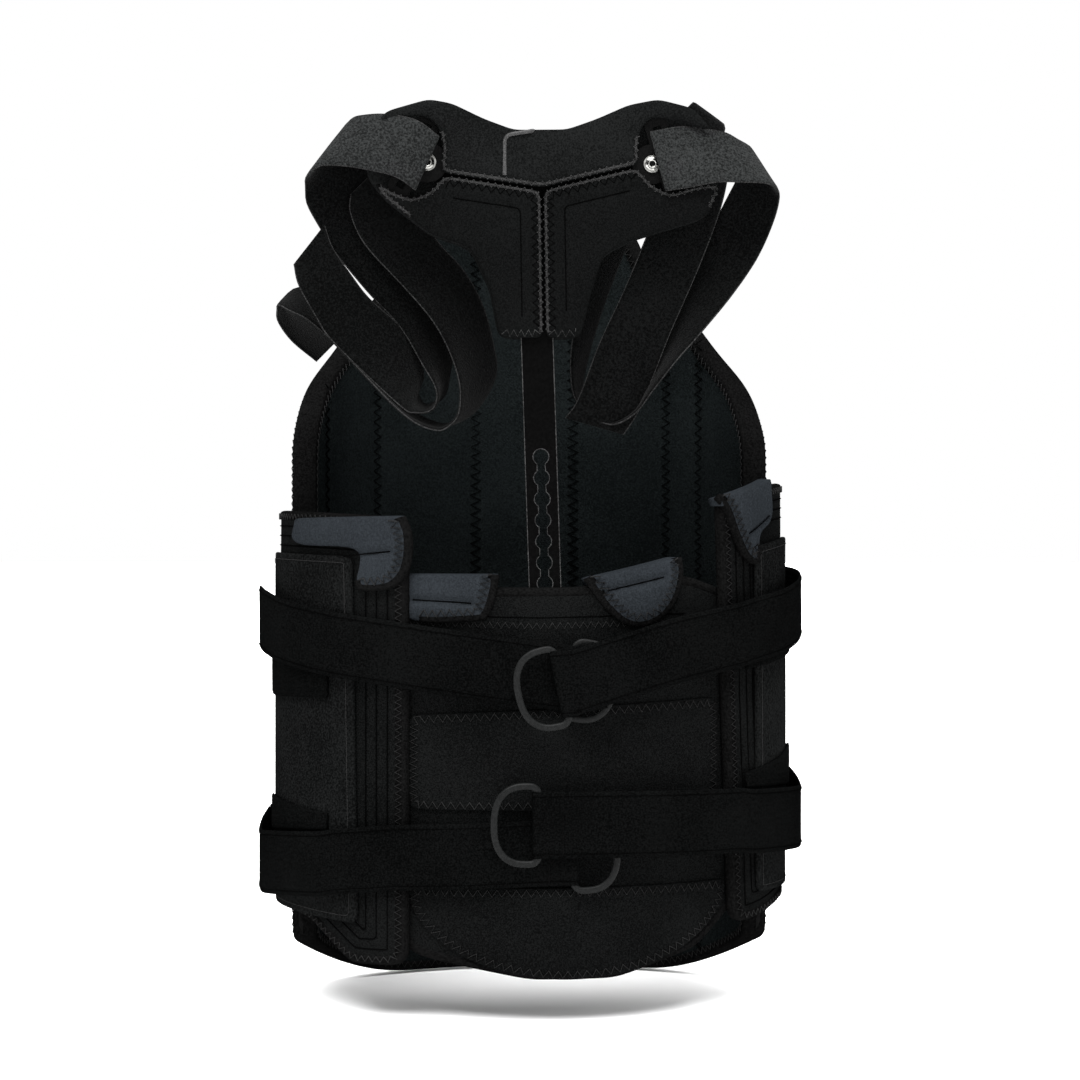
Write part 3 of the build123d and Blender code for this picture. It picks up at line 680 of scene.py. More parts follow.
# ------------------------------------------------------------------ front panels
def abdominal_panel():
    """The abdominal panel's lining and fuzzy cover, bound all round."""
    wall = on_wall(FRONT)
    outline, inner, outer = wall_layer("abdominal_liner", FRONT, rounds=3)
    lining = pad("belly_lining", outline, facing_in(wall), -outer, -inner, "lining", 4 * MM,
                 edge=3 * MM, crown=1.0 * MM, seed=21)
    soft(stand_for(lining, "lining", "abdominal_liner"))
    outline, cover_inner, cover_outer = wall_layer("abdominal_cover", FRONT, rounds=3)
    cover = pad("belly_cover", outline, wall, cover_inner, cover_outer, "loop", 3.5 * MM,
                edge=1.2 * MM, seed=22)
    soft(stand_for(cover, "loop_fabric", "abdominal_cover"))
    tape = bind_edge("belly_binding", outline, wall, inner, cover_outer, 5 * MM, swell=0.3 * MM)
    top, reach = outline[:, 1].max(), 0.62 * outline[:, 0].max()
    for number, (drop, look, swing) in enumerate(((22, "thread_dark", 0), (27, "thread", 1.8))):
        level = top - drop * MM
        seam = np.array([(-reach, level), (0, level - 2 * MM), (reach, level)])
        stitch(f"belly_seam_{number}", seam, wall, cover_outer + 0.3 * MM, look, 3.6 * MM,
               swing * MM, 0.4 * MM)


def front_panels():
    """The smooth centre panel, the bib below it and the two flaps above."""
    wall = on_wall(FRONT)
    for seed, name, node in ((31, "centre", "centre_panel"), (32, "bib", "abdominal_bib")):
        outline, inner, outer = wall_layer(node, FRONT, 2.5 * MM)
        cloth = pad(f"{name}_cloth", outline, wall, inner, outer, "loop", 2.5 * MM, edge=1 * MM,
                    seed=seed, ripple=0.5 * MM)
        soft(stand_for(cloth, "loop_fabric", node))
        stitch(f"{name}_edge_seam", inset(outline, 3 * MM), wall, outer + 0.5 * MM, "thread",
               4.4 * MM, 2.1 * MM, 0.4 * MM, closed=True)
    for side, name in ((-1, "left"), (1, "right")):
        flap_piece(f"front_flap_{name}", 0.0, side)


# Each flap's bound edge, in millimetres from the middle of its CAD outline: from the end of
# its folded top edge, down and round to the other end.  Then the share of it that is bound,
# and the ends of the stitched fold across the flap.
flap_edges = {
    "front_flap_left": ([(26, 14), (24, 3), (20, -9), (12, -13), (-29, -12), (-30, 14)], (0.0, 0.62),
                        (-25, -1), (10, -3)),
    "front_flap_right": ([(30, 19), (31, 9), (27, -6), (18, -17), (6, -22), (-6, -20), (-17, -11),
                          (-24, -2), (-30, 6)], (0.0, 1.0), (-16, -1), (19, 7)),
    "wing_flap_left": ([(33, 23), (37, 13), (37, -2), (33, -13), (24, -20), (8, -21), (4.5, -17),
                        (4, 3), (-33, 7), (-34, 22)], (0.0, 0.46), (-3, -1), (25, 2)),
    "wing_flap_right": ([(16, 23), (17, -1), (8, -12), (6.5, -29), (-3, -25), (-11, -10), (-16, 3),
                         (-22, 10)], (0.42, 1.0), (0, -11), (15, 0)),
}


def flap_outline(node, middle, height):
    """A flap's edge and fold on its wall, and the share of the edge that is bound."""
    low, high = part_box(node)
    centre = 0.5 * (low + high)
    edge, bound, fold_start, fold_end = flap_edges[node]

    def on_panel(points):
        x, z = np.array(points).T * MM
        sine = np.clip((x + centre.x) / (half_width + height), -0.999, 0.999)
        return np.stack([ARC * (np.arcsin(sine) - middle), z + centre.z], -1)

    curve = rounded(np.array(edge, float), 6)
    return on_panel(curve), on_panel([fold_start, fold_end]), bound


def flap_piece(node, panel_inner, side):
    """A slate-blue flap folded over its panel's top, with a black bound and stitched edge."""
    middle = FRONT if node.startswith("front") else side * math.pi / 2
    wall = on_wall(middle)
    _, inner, outer = wall_outline(node, middle)
    edge, fold, (first, last) = flap_outline(node, middle, outer)
    outline = resample(edge, 2 * MM)
    start, end = edge[0], edge[-1]
    cloth = pad(f"{node}_cloth", outline, wall, inner, outer + 0.6 * MM, "flap", 1.8 * MM,
                edge=2.0 * MM, crown=1.6 * MM, channels=[(fold, 2.6 * MM, 1.7 * MM)],
                ripple=0.5 * MM, seed=41 + side)
    soft(stand_for(cloth, "flap_lining", node))
    stitch(f"{node}_fold_seam", fold, wall, outer - 0.2 * MM, "thread_dark", swing=0.0,
           radius=0.4 * MM)
    top = resample(np.array([start * 0.97 + end * 0.03, start * 0.03 + end * 0.97]), 3 * MM, False)
    roll = bind_edge(f"{node}_fold", top, wall, panel_inner, outer, 5 * MM, "flap", closed=False,
                     swell=0.4 * MM)
    rim = resample(edge, 2 * MM, False)
    rim = rim[int(first * len(rim)):int(last * len(rim)) + 1]
    if signed_area(outline) < 0:
        rim = rim[::-1]
    tape = bind_edge(f"{node}_binding", rim, wall, inner, outer, 4.4 * MM, "binding", closed=False,
                     swell=0.7 * MM)
    seam = resample(rim, 2 * MM, False)
    seam += side_of(seam) * 5 * MM
    stitch(f"{node}_seam", smooth(seam, 2, False), wall, outer + 1.5 * MM, "thread", 4.2 * MM,
           2.2 * MM, 0.5 * MM)


# ------------------------------------------------------------------ wings
def wing(name, side):
    """One side wing: lining, stitched cover, pull strip and top flap."""
    middle = side * math.pi / 2
    wall = on_wall(middle)
    outline, inner, outer = wall_layer(f"wing_liner_{name}", middle)
    lining = pad(f"wing_lining_{name}", outline, facing_in(wall), -outer, -inner, "lining", 4 * MM,
                 edge=1 * MM, seed=51 + side)
    soft(stand_for(lining, "lining", f"wing_liner_{name}"))
    outline, cover_inner, cover_outer = wall_layer(f"wing_cover_{name}", middle)
    cover = pad(f"wing_cloth_{name}", outline, wall, cover_inner, cover_outer, "loop", 3 * MM,
                edge=1.2 * MM, ripple=0.5 * MM, seed=54 + side)
    soft(stand_for(cover, "loop_fabric", f"wing_cover_{name}"))
    tape = bind_edge(f"wing_binding_{name}", outline, wall, inner, cover_outer, 5 * MM,
                     swell=0.3 * MM)
    stitch(f"wing_seam_{name}", inset(outline, 3 * MM), wall, cover_outer + 1.0 * MM, "thread",
           4.2 * MM, 1.7 * MM, 0.38 * MM, closed=True)
    for number, depth in enumerate((9, 15, 21)):
        front_line = part_of(inset(outline, depth * MM), lambda p: side * p[:, 0] < 0)
        stitch(f"wing_band_{number}_{name}", front_line, wall, cover_outer + 0.4 * MM, "thread_dark",
               swing=0.0, radius=0.4 * MM)
    outline, inner, outer = wall_layer(f"wing_pull_{name}", middle, rounds=1)
    pull = pad(f"wing_pull_strip_{name}", outline, wall, inner, outer, "pull", 3 * MM,
               edge=1.2 * MM, seed=57 + side)
    stand_for(pull, "webbing", f"wing_pull_{name}")
    stitch(f"wing_pull_seam_{name}", inset(outline, 4 * MM), wall, outer + 0.1 * MM, closed=True,
           swing=0.0, radius=0.3 * MM)
    flap_piece(f"wing_flap_{name}", inner - 6 * MM, side)


back_panel()
abdominal_panel()
front_panels()
wing("left", -1)
wing("right", 1)


# ------------------------------------------------------------------ yoke
def inflate(piece, held, cap, pressure=4.0):
    """Swells a closed piece as a cloth bag under air pressure, with the held vertices fixed."""
    mesh = piece.data
    rest = np.array([v.co for v in mesh.vertices])
    group = piece.vertex_groups.new(name="held")
    group.add([int(i) for i in np.flatnonzero(held)], 1.0, "REPLACE")
    cloth = piece.modifiers.new("inflate", "CLOTH")
    cloth.settings.quality = 4
    cloth.settings.mass = 0.2
    cloth.settings.tension_stiffness = 12
    cloth.settings.compression_stiffness = 12
    cloth.settings.bending_stiffness = 0.6
    cloth.settings.use_pressure = True
    cloth.settings.uniform_pressure_force = pressure
    cloth.settings.effector_weights.gravity = 0
    cloth.settings.vertex_group_mass = "held"
    cloth.collision_settings.use_collision = False
    for number in range(1, 21):
        bpy.context.scene.frame_set(number)
    shaped = piece.evaluated_get(bpy.context.evaluated_depsgraph_get())
    moved = np.array([v.co for v in shaped.data.vertices]) - rest
    length = np.linalg.norm(moved, axis=1, keepdims=True)
    moved *= np.minimum(1, cap / np.maximum(length, 1e-9))
    piece.modifiers.remove(cloth)
    mesh.vertices.foreach_set("co", (rest + moved).ravel())
    mesh.update()
    bpy.context.scene.frame_set(1)


def along_y(node):
    """A flat CAD layer's outline with its heights in front of Y = 0."""
    outline, back, front = flat_outline(node)
    return outline, -back, -front


def held_back(piece, front, margin=1.2 * MM):
    """Which vertices of a flat piece lie behind its front face."""
    co = np.array([v.co for v in piece.data.vertices])
    return -co[:, 1] < front - margin


def overlock(name, path, place, height):
    """An overlocked edge: slanted stitches over a lumpy cord."""
    pitch, step = 4.4 * MM, 1.1 * MM
    points = resample(path, step, False)
    turn = np.arange(len(points)) * step / pitch * 2 * math.pi
    cord = place(points[:, 0], points[:, 1], height + 0.35 * MM * np.sin(turn))
    tube(f"{name}_cord", cord, 0.85 * MM, "edge", "sternal")
    stitch(f"{name}_loops", path, place, height + 0.7 * MM, "thread_light", pitch, 1.5 * MM,
           0.3 * MM, body="sternal")


def yoke():
    """The collar and the yoke's back pad and two front pieces, on the sternal bar."""
    flat = on_flat(0.0)
    outline, inner, outer = along_y("collar")
    outline = smooth(resample(outline, 2 * MM), 4)
    collar = pad("collar_cloth", outline, flat, inner, outer, "collar", 2.5 * MM, edge=2.3 * MM,
                 crown=1.5 * MM, ripple=0.2 * MM, seed=61, body="sternal")
    inflate(collar, held_back(collar, outer), 6 * MM, 6)
    soft(stand_for(collar, "neoprene", "collar"))
    low = outline[:, 1].min()
    seam = part_of(inset(outline, 1.4 * MM), lambda p: p[:, 1] < low + 0.62 * np.ptp(outline[:, 1]))
    overlock("collar_overlock", seam, flat, outer + 0.2 * MM)
    outline, inner, outer = along_y("yoke_pad")
    outline = smooth(resample(outline, 3 * MM), 3)
    back_pad = pad("yoke_lining", outline, flat, inner, outer, "collar", 3 * MM, edge=3.5 * MM,
                   crown=1.0 * MM, seed=62, body="sternal")
    soft(stand_for(back_pad, "neoprene", "yoke_pad"))
    for side, name in ((-1, "left"), (1, "right")):
        yoke_wing(side, name, flat)


def yoke_wing(side, name, flat):
    """A front piece of the yoke, with its topstitch, laced edges and hem."""
    outline, inner, outer = along_y(f"yoke_wing_{name}")
    outline = smooth(resample(outline, 2 * MM), 3)
    centre_x = outline[:, 0].max() if side < 0 else outline[:, 0].min()
    low, high = outline[:, 1].min(), outline[:, 1].max()

    def on_border(p):
        near_slit = np.abs(p[:, 0] - centre_x) < 6 * MM
        near_top = p[:, 1] > high - 17 * MM
        return (near_slit | near_top) & (p[:, 1] > low + 5 * MM) & (side * p[:, 0] < 60 * MM)

    border = part_of(outline, on_border)
    probe = border[20:21] + side_of(border)[20:21] * 2 * MM
    inner_way = 1.0 if inside(probe, outline)[0] else -1.0

    def beside(distance):
        """The slit and top edges moved inward."""
        moved = border + inner_way * distance * side_of(border)
        return smooth(moved[distance_to(moved, outline) > 0.96 * distance], 3, closed=False)

    topstitch = beside(12.5 * MM)
    cloth = pad(f"yoke_wing_cloth_{name}", outline, flat, inner, outer, "neoprene", 2.2 * MM,
                edge=2.2 * MM, crown=1.0 * MM, channels=[(topstitch, 1.2 * MM, 2.2 * MM)],
                ripple=0.3 * MM, seed=64 + side, body="sternal")
    inflate(cloth, held_back(cloth, outer), 5 * MM, 3)
    soft(stand_for(cloth, "neoprene", f"yoke_wing_{name}"))
    stitch(f"yoke_topstitch_{name}", topstitch, flat, outer, "thread_dark", swing=0.0,
           radius=0.4 * MM, body="sternal", on=cloth)
    stitch(f"yoke_lace_{name}", beside(4 * MM), flat, outer, "thread_dark",
           5.6 * MM, 1.9 * MM, 0.42 * MM, body="sternal", on=cloth)
    rim = inset(outline, 1.2 * MM)
    slit = part_of(rim, lambda p: (np.abs(p[:, 0] - centre_x) < 4 * MM) & (p[:, 1] > low + 3 * MM))
    overlock(f"yoke_slit_{name}", slit, flat, outer - 0.2 * MM)
    top = part_of(rim, lambda p: (p[:, 1] > high - 24 * MM) & (np.abs(p[:, 0] - centre_x) > 3 * MM))
    overlock(f"yoke_top_{name}", top, flat, outer - 0.4 * MM)
    hem = part_of(inset(outline, 2.6 * MM), lambda p: p[:, 1] < low + 4 * MM)
    stitch(f"yoke_hem_{name}", hem, flat, outer, "thread_light", 4.6 * MM, 2 * MM,
           0.3 * MM, body="sternal", on=cloth)


# ------------------------------------------------------------------ shoulder straps
# Each row is one line across a strap: how far its two edges stand right of, above
# and behind the front face of the strap at its rivet, in millimetres.
left_run = [
    (7, 14, 0, -7, -18, 0), (-7, 24, 2, -19, -10, -1), (-25, 28, 6, -37, -6, -3),
    (-39, 28, 11, -52, -4, -3), (-45, 27, 16, -64, -4, 0), (-49, 23, 21, -72, -9, 8),
    (-49, 19, 24, -73, -14, 18), (-43, 16, 29, -72, -24, 23), (-32, 0, 35, -63, -40, 27),
    (-25, -16, 37, -57, -50, 29), (-9, -43, 41, -37, -74, 33), (7, -74, 46, -20, -92, 33),
    (14, -88, 50, -12, -103, 32), (17, -104, 55, -3, -119, 31), (14, -124, 61, 4, -131, 29),
    (11, -136, 63, 6, -139, 26), (3, -142, 62, 4, -146, 23), (-2, -142, 59, -1, -149, 22),
    (-6, -134, 54, -8, -149, 21), (-2, -123, 45, -14, -147, 20), (-14, -99, 34, -35, -128, 19),
    (-35, -80, 28, -58, -105, 19), (-46, -66, 26, -66, -93, 19), (-57, -50, 24, -77, -73, 19),
    (-62, -36, 23, -80, -60, 20),
]
left_tail = [
    (-17, 13, 36, -46, -17, 25), (-12, -8, 38, -46, -29, 25), (4, -40, 40, -37, -48, 25),
    (23, -62, 42, -13, -74, 25), (35, -84, 46, 3, -93, 24), (42, -110, 52, 13, -111, 23),
    (43, -123, 56, 19, -129, 22), (38, -135, 58, 20, -142, 21), (29, -147, 59, 18, -152, 20),
    (16, -154, 59, 12, -158, 19), (6, -154, 58, 6, -160, 19), (-7, -148, 57, -6, -156, 18),
    (-22, -136, 55, -20, -145, 18), (-46, -110, 53, -42, -122, 18), (-62, -93, 53, -58, -105, 21),
    (-71, -73, 55, -73, -92, 29), (-81, -71, 59, -83, -87, 33), (-89, -78, 64, -90, -83, 37),
    (-90, -79, 74, -91, -86, 41), (-84, -80, 82, -91, -92, 50), (-71, -89, 92, -83, -103, 62),
    (-56, -100, 97, -68, -115, 70),
]
right_run = [
    (-2, 18, 1, 7, -17, 0), (16, 22, 5, 21, -15, -1), (27, 22, 9, 38, -12, -3),
    (44, 20, 12, 54, -12, -3), (53, 16, 15, 67, -12, 0), (60, 12, 18, 75, -14, 7),
    (60, 8, 22, 78, -19, 16), (55, -4, 28, 75, -33, 22), (43, -28, 33, 66, -54, 27),
    (31, -56, 38, 50, -77, 21), (16, -84, 43, 30, -101, 17), (5, -108, 48, 15, -118, 16),
    (-4, -128, 53, 1, -136, 17), (-7, -144, 59, -9, -149, 19), (-20, -152, 59, -23, -156, 22),
    (-33, -148, 59, -36, -150, 27), (-38, -127, 59, -46, -136, 33), (-24, -77, 57, -46, -104, 38),
    (-8, -37, 55, -35, -66, 41), (8, -4, 54, -20, -30, 44),
]
right_fold = [
    (-51, -152, 25, -16, -162, 25), (-43, -140, 25, -7, -148, 25), (-30, -106, 25, 2, -127, 25),
    (-16, -76, 25, 13, -99, 25), (-1, -40, 26, 31, -58, 27), (9, -17, 27, 44, -23, 29),
    (14, 11, 28, 49, 2, 30), (16, 27, 29, 47, 18, 32), (26, 40, 32, 47, 27, 36),
    (28, 41, 37, 48, 27, 40), (18, 30, 42, 47, 19, 45), (11, 1, 45, 43, -17, 47),
]


def strap_lines(rows, corner):
    """The two edge lines of a strap, laid smoothly through its rows."""
    table = np.array(rows, float) * MM
    table = np.stack([table[:, 0], table[:, 2], table[:, 1], table[:, 3], table[:, 5], table[:, 4]], -1)
    fine = rounded(table)
    middle = 0.5 * (fine[:, :3] + fine[:, 3:])
    length = run_of(middle)
    at = np.linspace(0, length[-1], max(8, int(length[-1] / (3 * MM))))
    even_rows = points_at(fine, length, at)
    corner = np.array(corner)
    return even_rows[:, :3] + corner, even_rows[:, 3:] + corner


def paint_light_band(strap, left, right):
    """Paints light on a strap: marks it to be painted paler from its start to where it rolls over the
    shoulder.
    """
    middle = 0.5 * (left + right)
    run = run_of(middle)
    roll = run[int(np.argmax(np.abs(middle[run < 90 * MM, 0])))]
    along = np.clip((roll - run) / (6 * MM), 0, 1)
    mesh = strap.data
    per_row = len(mesh.vertices) // len(along)
    layer = mesh.attributes.new("painted_light", "FLOAT", "POINT")
    layer.data.foreach_set("value", np.repeat(along, per_row).astype(np.float32))


def shoulder_strap(name, rows, seed):
    """One length of fuzzy strap on a shoulder, with its light selvages."""
    side = "left" if name.startswith("left") else "right"
    pivot = joints[f"ear_{side}_pivot"]["pos_m"]
    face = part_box(f"shoulder_strap_{side}")[0].y
    left, right = strap_lines(rows, (pivot[0], face + 1 * MM, pivot[2]))
    body = f"shoulder_{side}"
    strap = ribbon(f"shoulder_{name}_web", left, right, 2.0 * MM, "strap", body, seed=seed)
    # painted light: the run from the ear to the shoulder is painted paler
    if name.endswith("_run"):
        paint_light_band(strap, left, right)
    for edge, line in (("a", left), ("b", right)):
        yarn = tube(f"shoulder_{name}_selvage_{edge}", line, 0.42 * MM, "edge", body)
    return strap


yoke()
stand_for(shoulder_strap("left_run", left_run, 71), "loop_fabric", "shoulder_strap_left")
shoulder_strap("left_tail", left_tail, 72)
stand_for(shoulder_strap("right_run", right_run, 73), "loop_fabric", "shoulder_strap_right")
shoulder_strap("right_fold", right_fold, 74)


# ------------------------------------------------------------------ hard pieces
hard_pieces = (
    ("plastic", "ear_plastic", ("ear_left", "ear_right")),
    ("chrome", "rivet_metal", ("ear_washers", "frame_rivets")),
    ("bar", "bar_metal", ("sternal_frame", "bar_lock_stud", "posterior_stays")),
    ("plastic", "shell_plastic", ("bar_guide", "posterior_shell", "abdominal_shell",
                                  "wing_shell_left", "wing_shell_right")),
)


def lathe(name, centre, profile, look, body):
    """A turned piece on an axis along Y, from its (radius, depth) profile."""
    turn = np.linspace(0, 2 * math.pi, 36, endpoint=False)
    rings = [[(centre[0] + radius * math.cos(a), centre[1] + depth, centre[2] + radius * math.sin(a))
              for a in turn] for radius, depth in profile]
    piece = mesh_piece(name, *loft(np.array(rings)), look)
    turn_outward(piece)
    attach(piece, body)
    return piece


def eyelet(side):
    """The hollow rivet an ear turns on: flat flange and rolled lip, with painted shade: a dark disc in its
    bore and a dark ring round the foot of its lip.
    """
    pivot = joints[f"ear_{side}_pivot"]["pos_m"]
    front, back = (corner.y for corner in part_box("ear_rivets"))
    centre = (pivot[0], front, pivot[2])
    flange = [(0.1, 1.6), (1.5, 1.6), (1.7, 0.3), (2.1, 0.0), (2.6, 0.2), (2.9, 0.9), (4.0, 1.0),
              (4.2, 1.3), (4.1, 1.9), (2.3, 2.1), (2.3, (back - front) / MM), (0.1, (back - front) / MM)]
    metal = lathe(f"eyelet_{side}", centre, np.array(flange) * MM, "chrome", "sternal")
    stand_for(metal, "rivet_metal", "ear_rivets")
    # painted shade: a dark disc where the inside of the bore lies in shade
    bore_shade = lathe(f"eyelet_{side}_bore", centre, np.array([(0.1, 1.4), (1.55, 1.4), (1.5, 1.7)]) * MM,
                 "plastic", "sternal")
    # painted shade: a dark ring in the crease at the foot of the lip
    groove_shade = lathe(f"eyelet_{side}_groove", centre, np.array([(2.7, 0.7), (3.1, 0.8), (2.9, 1.2)]) * MM,
                   "plastic", "sternal")


def collar_wire():
    """The flat wire hook that stands in front of the collar and bends over its top edge."""
    low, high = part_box("collar_hook")
    front = low.y + 0.8 * MM
    top = high.z - 7 * MM
    x = low.x + 1 * MM
    path = np.array([(x, front, low.z), (x, front, top - 4 * MM), (x + 1.2 * MM, front, top - 1 * MM),
                     (x + 4 * MM, front, top), (high.x - 2 * MM, front, top + 2 * MM),
                     (high.x, front + 4 * MM, top + 3 * MM), (high.x, high.y - 2 * MM, top)])
    path = smooth(resample(path, 1 * MM, closed=False), 3, closed=False)
    wire = tube("collar_wire", path, 1.25 * MM, "wire", body="sternal", sides=8)
    stand_for(wire, "loop_metal", "collar_hook")


for look, slot, shown in hard_pieces:
    for node in shown:
        put(node, look, slot)
eyelet("left")
eyelet("right")
collar_wire()


# ------------------------------------------------------------------ straps
STRAP = 2.0 * MM
LOOP_ANGLE = 112                    # degrees from the front at which a strap turns round its loop
TAB_ANGLE = 150                     # degrees from the front at which a loop's tab is sewn on
OUTER_RUN = 27.6 * MM               # the strap's outer run is farther than this off the trunk
UNDER_RUN = (24 * MM, 27.4 * MM)    # and its return underneath lies between these


def tree_of(node):
    """A CAD node's surface, for rays."""
    mesh = nodes[node].data
    return BVHTree.FromPolygons([v.co for v in mesh.vertices], [tuple(f.vertices) for f in mesh.polygons])


def ray_rails(node, rays, wanted, sink):
    """A CAD strap's lower and upper edge lines.

    rays gives, for each step along the strap, a function of z that returns where a ray
    starts and which way it goes.  wanted says whether a hit belongs to this length, and
    sink is how far the lines lie under the face that was hit.
    """
    tree = tree_of(node)
    low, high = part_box(node)
    levels = np.arange(low.z + 0.3 * MM, high.z, 0.6 * MM)
    lower, upper = [], []
    for ray in rays:
        hits = []
        for z in levels:
            start, way = ray(z)
            spot = tree.ray_cast(Vector(start), Vector(way), 0.2)[0]
            if spot is not None and wanted(spot):
                hits.append(np.array(spot) + np.array(way) * sink)
        if hits:
            lower.append(hits[0])
            upper.append(hits[-1])
    return settle(np.array(lower)), settle(np.array(upper))


def settle(line):
    """Takes the small steps out of a measured line, ends kept."""
    result = line.copy()
    for _ in range(6):
        result[1:-1] = 0.25 * result[:-2] + 0.5 * result[1:-1] + 0.25 * result[2:]
    return result


def radial_rays(start, end, step=1.5):
    """Rays aimed at the trunk at each angle from start to end, in degrees."""
    count = max(2, int(abs(end - start) / step))
    for degrees in np.linspace(start, end, count):
        turn = math.radians(degrees)
        way = (-math.sin(turn), math.cos(turn), 0)

        def ray(z, turn=turn, way=way):
            return ((half_width + 0.09) * math.sin(turn), -(half_depth + 0.09) * math.cos(turn), z), way
        yield ray


def frontal_rays(start, end, step=3 * MM):
    """Rays aimed straight back at each x from start to end."""
    for x in np.linspace(start, end, max(2, int(abs(end - start) / step))):
        def ray(z, x=x):
            return (x, -0.25, z), (0, 1, 0)
        yield ray


def offset_of(spot):
    """How far off the trunk's surface one point is."""
    return float(wall_offset(np.array([spot]))[0])


def join_rails(first, second):
    """One pair of edge lines that runs through two."""
    return tuple(np.vstack([a, b]) for a, b in zip(first, second))


def even_rails(rails, step=3 * MM):
    """The same edge lines at an even step."""
    middle = 0.5 * (rails[0] + rails[1])
    length = run_of(middle)
    at = np.linspace(0, length[-1], max(6, int(length[-1] / step)))
    return tuple(points_at(line, length, at) for line in rails)


def ring_turn(place, rails, side):
    """The strap's fold round a ring's bar: out round it and back behind the strap."""
    joint = joints[f"ring_{place}_swing"]
    centre, axis = Vector(joint["pos_m"]), Vector(joint["axis"]).normalized()
    if axis.z < 0:
        axis = -axis
    out = Vector((0, 1, 0)).cross(axis) * side
    out = -out if out.x * side > 0 else out
    lines = []
    for line, sign in zip(rails, (-1, 1)):
        half = abs(line[-1][2] - centre.z)
        heart = centre + axis * sign * half
        spots = []
        for degrees in range(-60, 91, 15):
            turn = math.radians(degrees)
            spots.append(heart + 3.0 * MM * (math.cos(turn) * out + math.sin(turn) * Vector((0, 1, 0))))
        for back in (6, 12, 18, 24):
            spots.append(heart - out * back * MM + Vector((0, 2.6 * MM, 0)))
        lines.append(np.array(spots))
    return tuple(lines)


def strap(place, side):
    """One side strap: over the wing and round to the ring's fold, with its run underneath."""
    hinge = np.array(joints[f"peel_{place}"]["pos_m"])
    outer = ray_rails(f"strap_side_{place}", radial_rays(side * LOOP_ANGLE, side * 50),
                      lambda s: offset_of(s) > OUTER_RUN, STRAP / 2)
    bar = joints[f"ring_{place}_swing"]["pos_m"][0]
    front = ray_rails(f"strap_front_{place}", frontal_rays(side * 0.127, bar + side * 7 * MM),
                      lambda s: True, STRAP / 2)
    rails = even_rails(join_rails(outer, front), 2.5 * MM)
    rails = tuple(settle(line) for line in rails)
    rails = join_rails(rails, ring_turn(place, rails, side))
    rails = even_rails(rails, 2.5 * MM)
    web = ribbon(f"strap_{place}_web", rails[0], rails[1], STRAP, "webbing", body=None,
                 seed=len(place), flutter=0.25 * MM)
    stand_for(web, "webbing", f"strap_side_{place}", f"strap_front_{place}")
    pieces = [web]
    across = 0.5 * (rails[0] + rails[1])
    outward = unit(np.cross(rails[1] - rails[0], np.gradient(across, axis=0)))
    toward_eye = np.sign(outward[len(outward) // 2, 1]) * -1
    lift = outward * toward_eye * (STRAP / 2 + 0.15 * MM)
    for number, share in enumerate((0.07, 0.93)):
        line = rails[0] * (1 - share) + rails[1] * share + lift
        pieces.append(tube(f"strap_{place}_seam_{number}", line, 0.25 * MM, "thread_dark", None))
    for number, back in enumerate((15 * MM, 18 * MM)):
        spot = int(np.argmin(np.abs(across[:, 0] - (bar + side * back)) + (across[:, 1] > -0.08)))
        ends = np.linspace(rails[0][spot], rails[1][spot], 22)[1:-1]
        pieces.append(tube(f"strap_{place}_bar_tack_{number}", ends + lift[spot], 0.3 * MM,
                           "binding", None))
    forward = across[np.argmin(np.linalg.norm(across - hinge, axis=1)) + 6] - hinge
    forward = Vector((forward[0], forward[1], 0)).normalized() * 9 * MM
    hinge = Vector(hinge)
    for piece in pieces:
        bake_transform(piece)
    under_run(place, side, outer)


def under_run(place, side, outer):
    """The strap's turn round its loop and its run forward underneath, sewn to the wing."""
    inner = ray_rails(f"strap_side_{place}", radial_rays(side * (LOOP_ANGLE - 1), side * 48),
                      lambda s: UNDER_RUN[0] < offset_of(s) < UNDER_RUN[1], STRAP / 2)
    if len(inner[0]) < 4:
        return
    turned = []
    for line, under in zip(outer, inner):
        start = line[0]
        across = np.array([start[0], start[1], 0])
        way = -across / np.linalg.norm(across) * 8 * MM
        centre = start + 0.5 * way
        back = np.array([-way[1], way[0], 0]) / np.linalg.norm(way)
        back = back if back[1] > 0 else -back
        spots = [centre + (start - centre) * math.cos(t) + back * 4 * MM * math.sin(t)
                 for t in np.linspace(0, math.pi, 9)]
        turned.append(np.vstack([spots, under]))
    rails = even_rails(tuple(turned), 3 * MM)
    web = ribbon(f"strap_{place}_under", rails[0], rails[1], STRAP, "webbing", "root", seed=5,
                 flutter=0.2 * MM)


def tab(place, side):
    """The webbing that holds a slide loop to the back panel."""
    rails = ray_rails(f"slide_tab_{place}", radial_rays(side * TAB_ANGLE, side * LOOP_ANGLE),
                      lambda s: True, 0.9 * MM)
    rails = even_rails(rails, 3 * MM)
    web = ribbon(f"slide_tab_{place}_web", rails[0], rails[1], 1.8 * MM, "webbing", "root",
                 flutter=0.1 * MM)
    stand_for(web, "webbing", f"slide_tab_{place}")


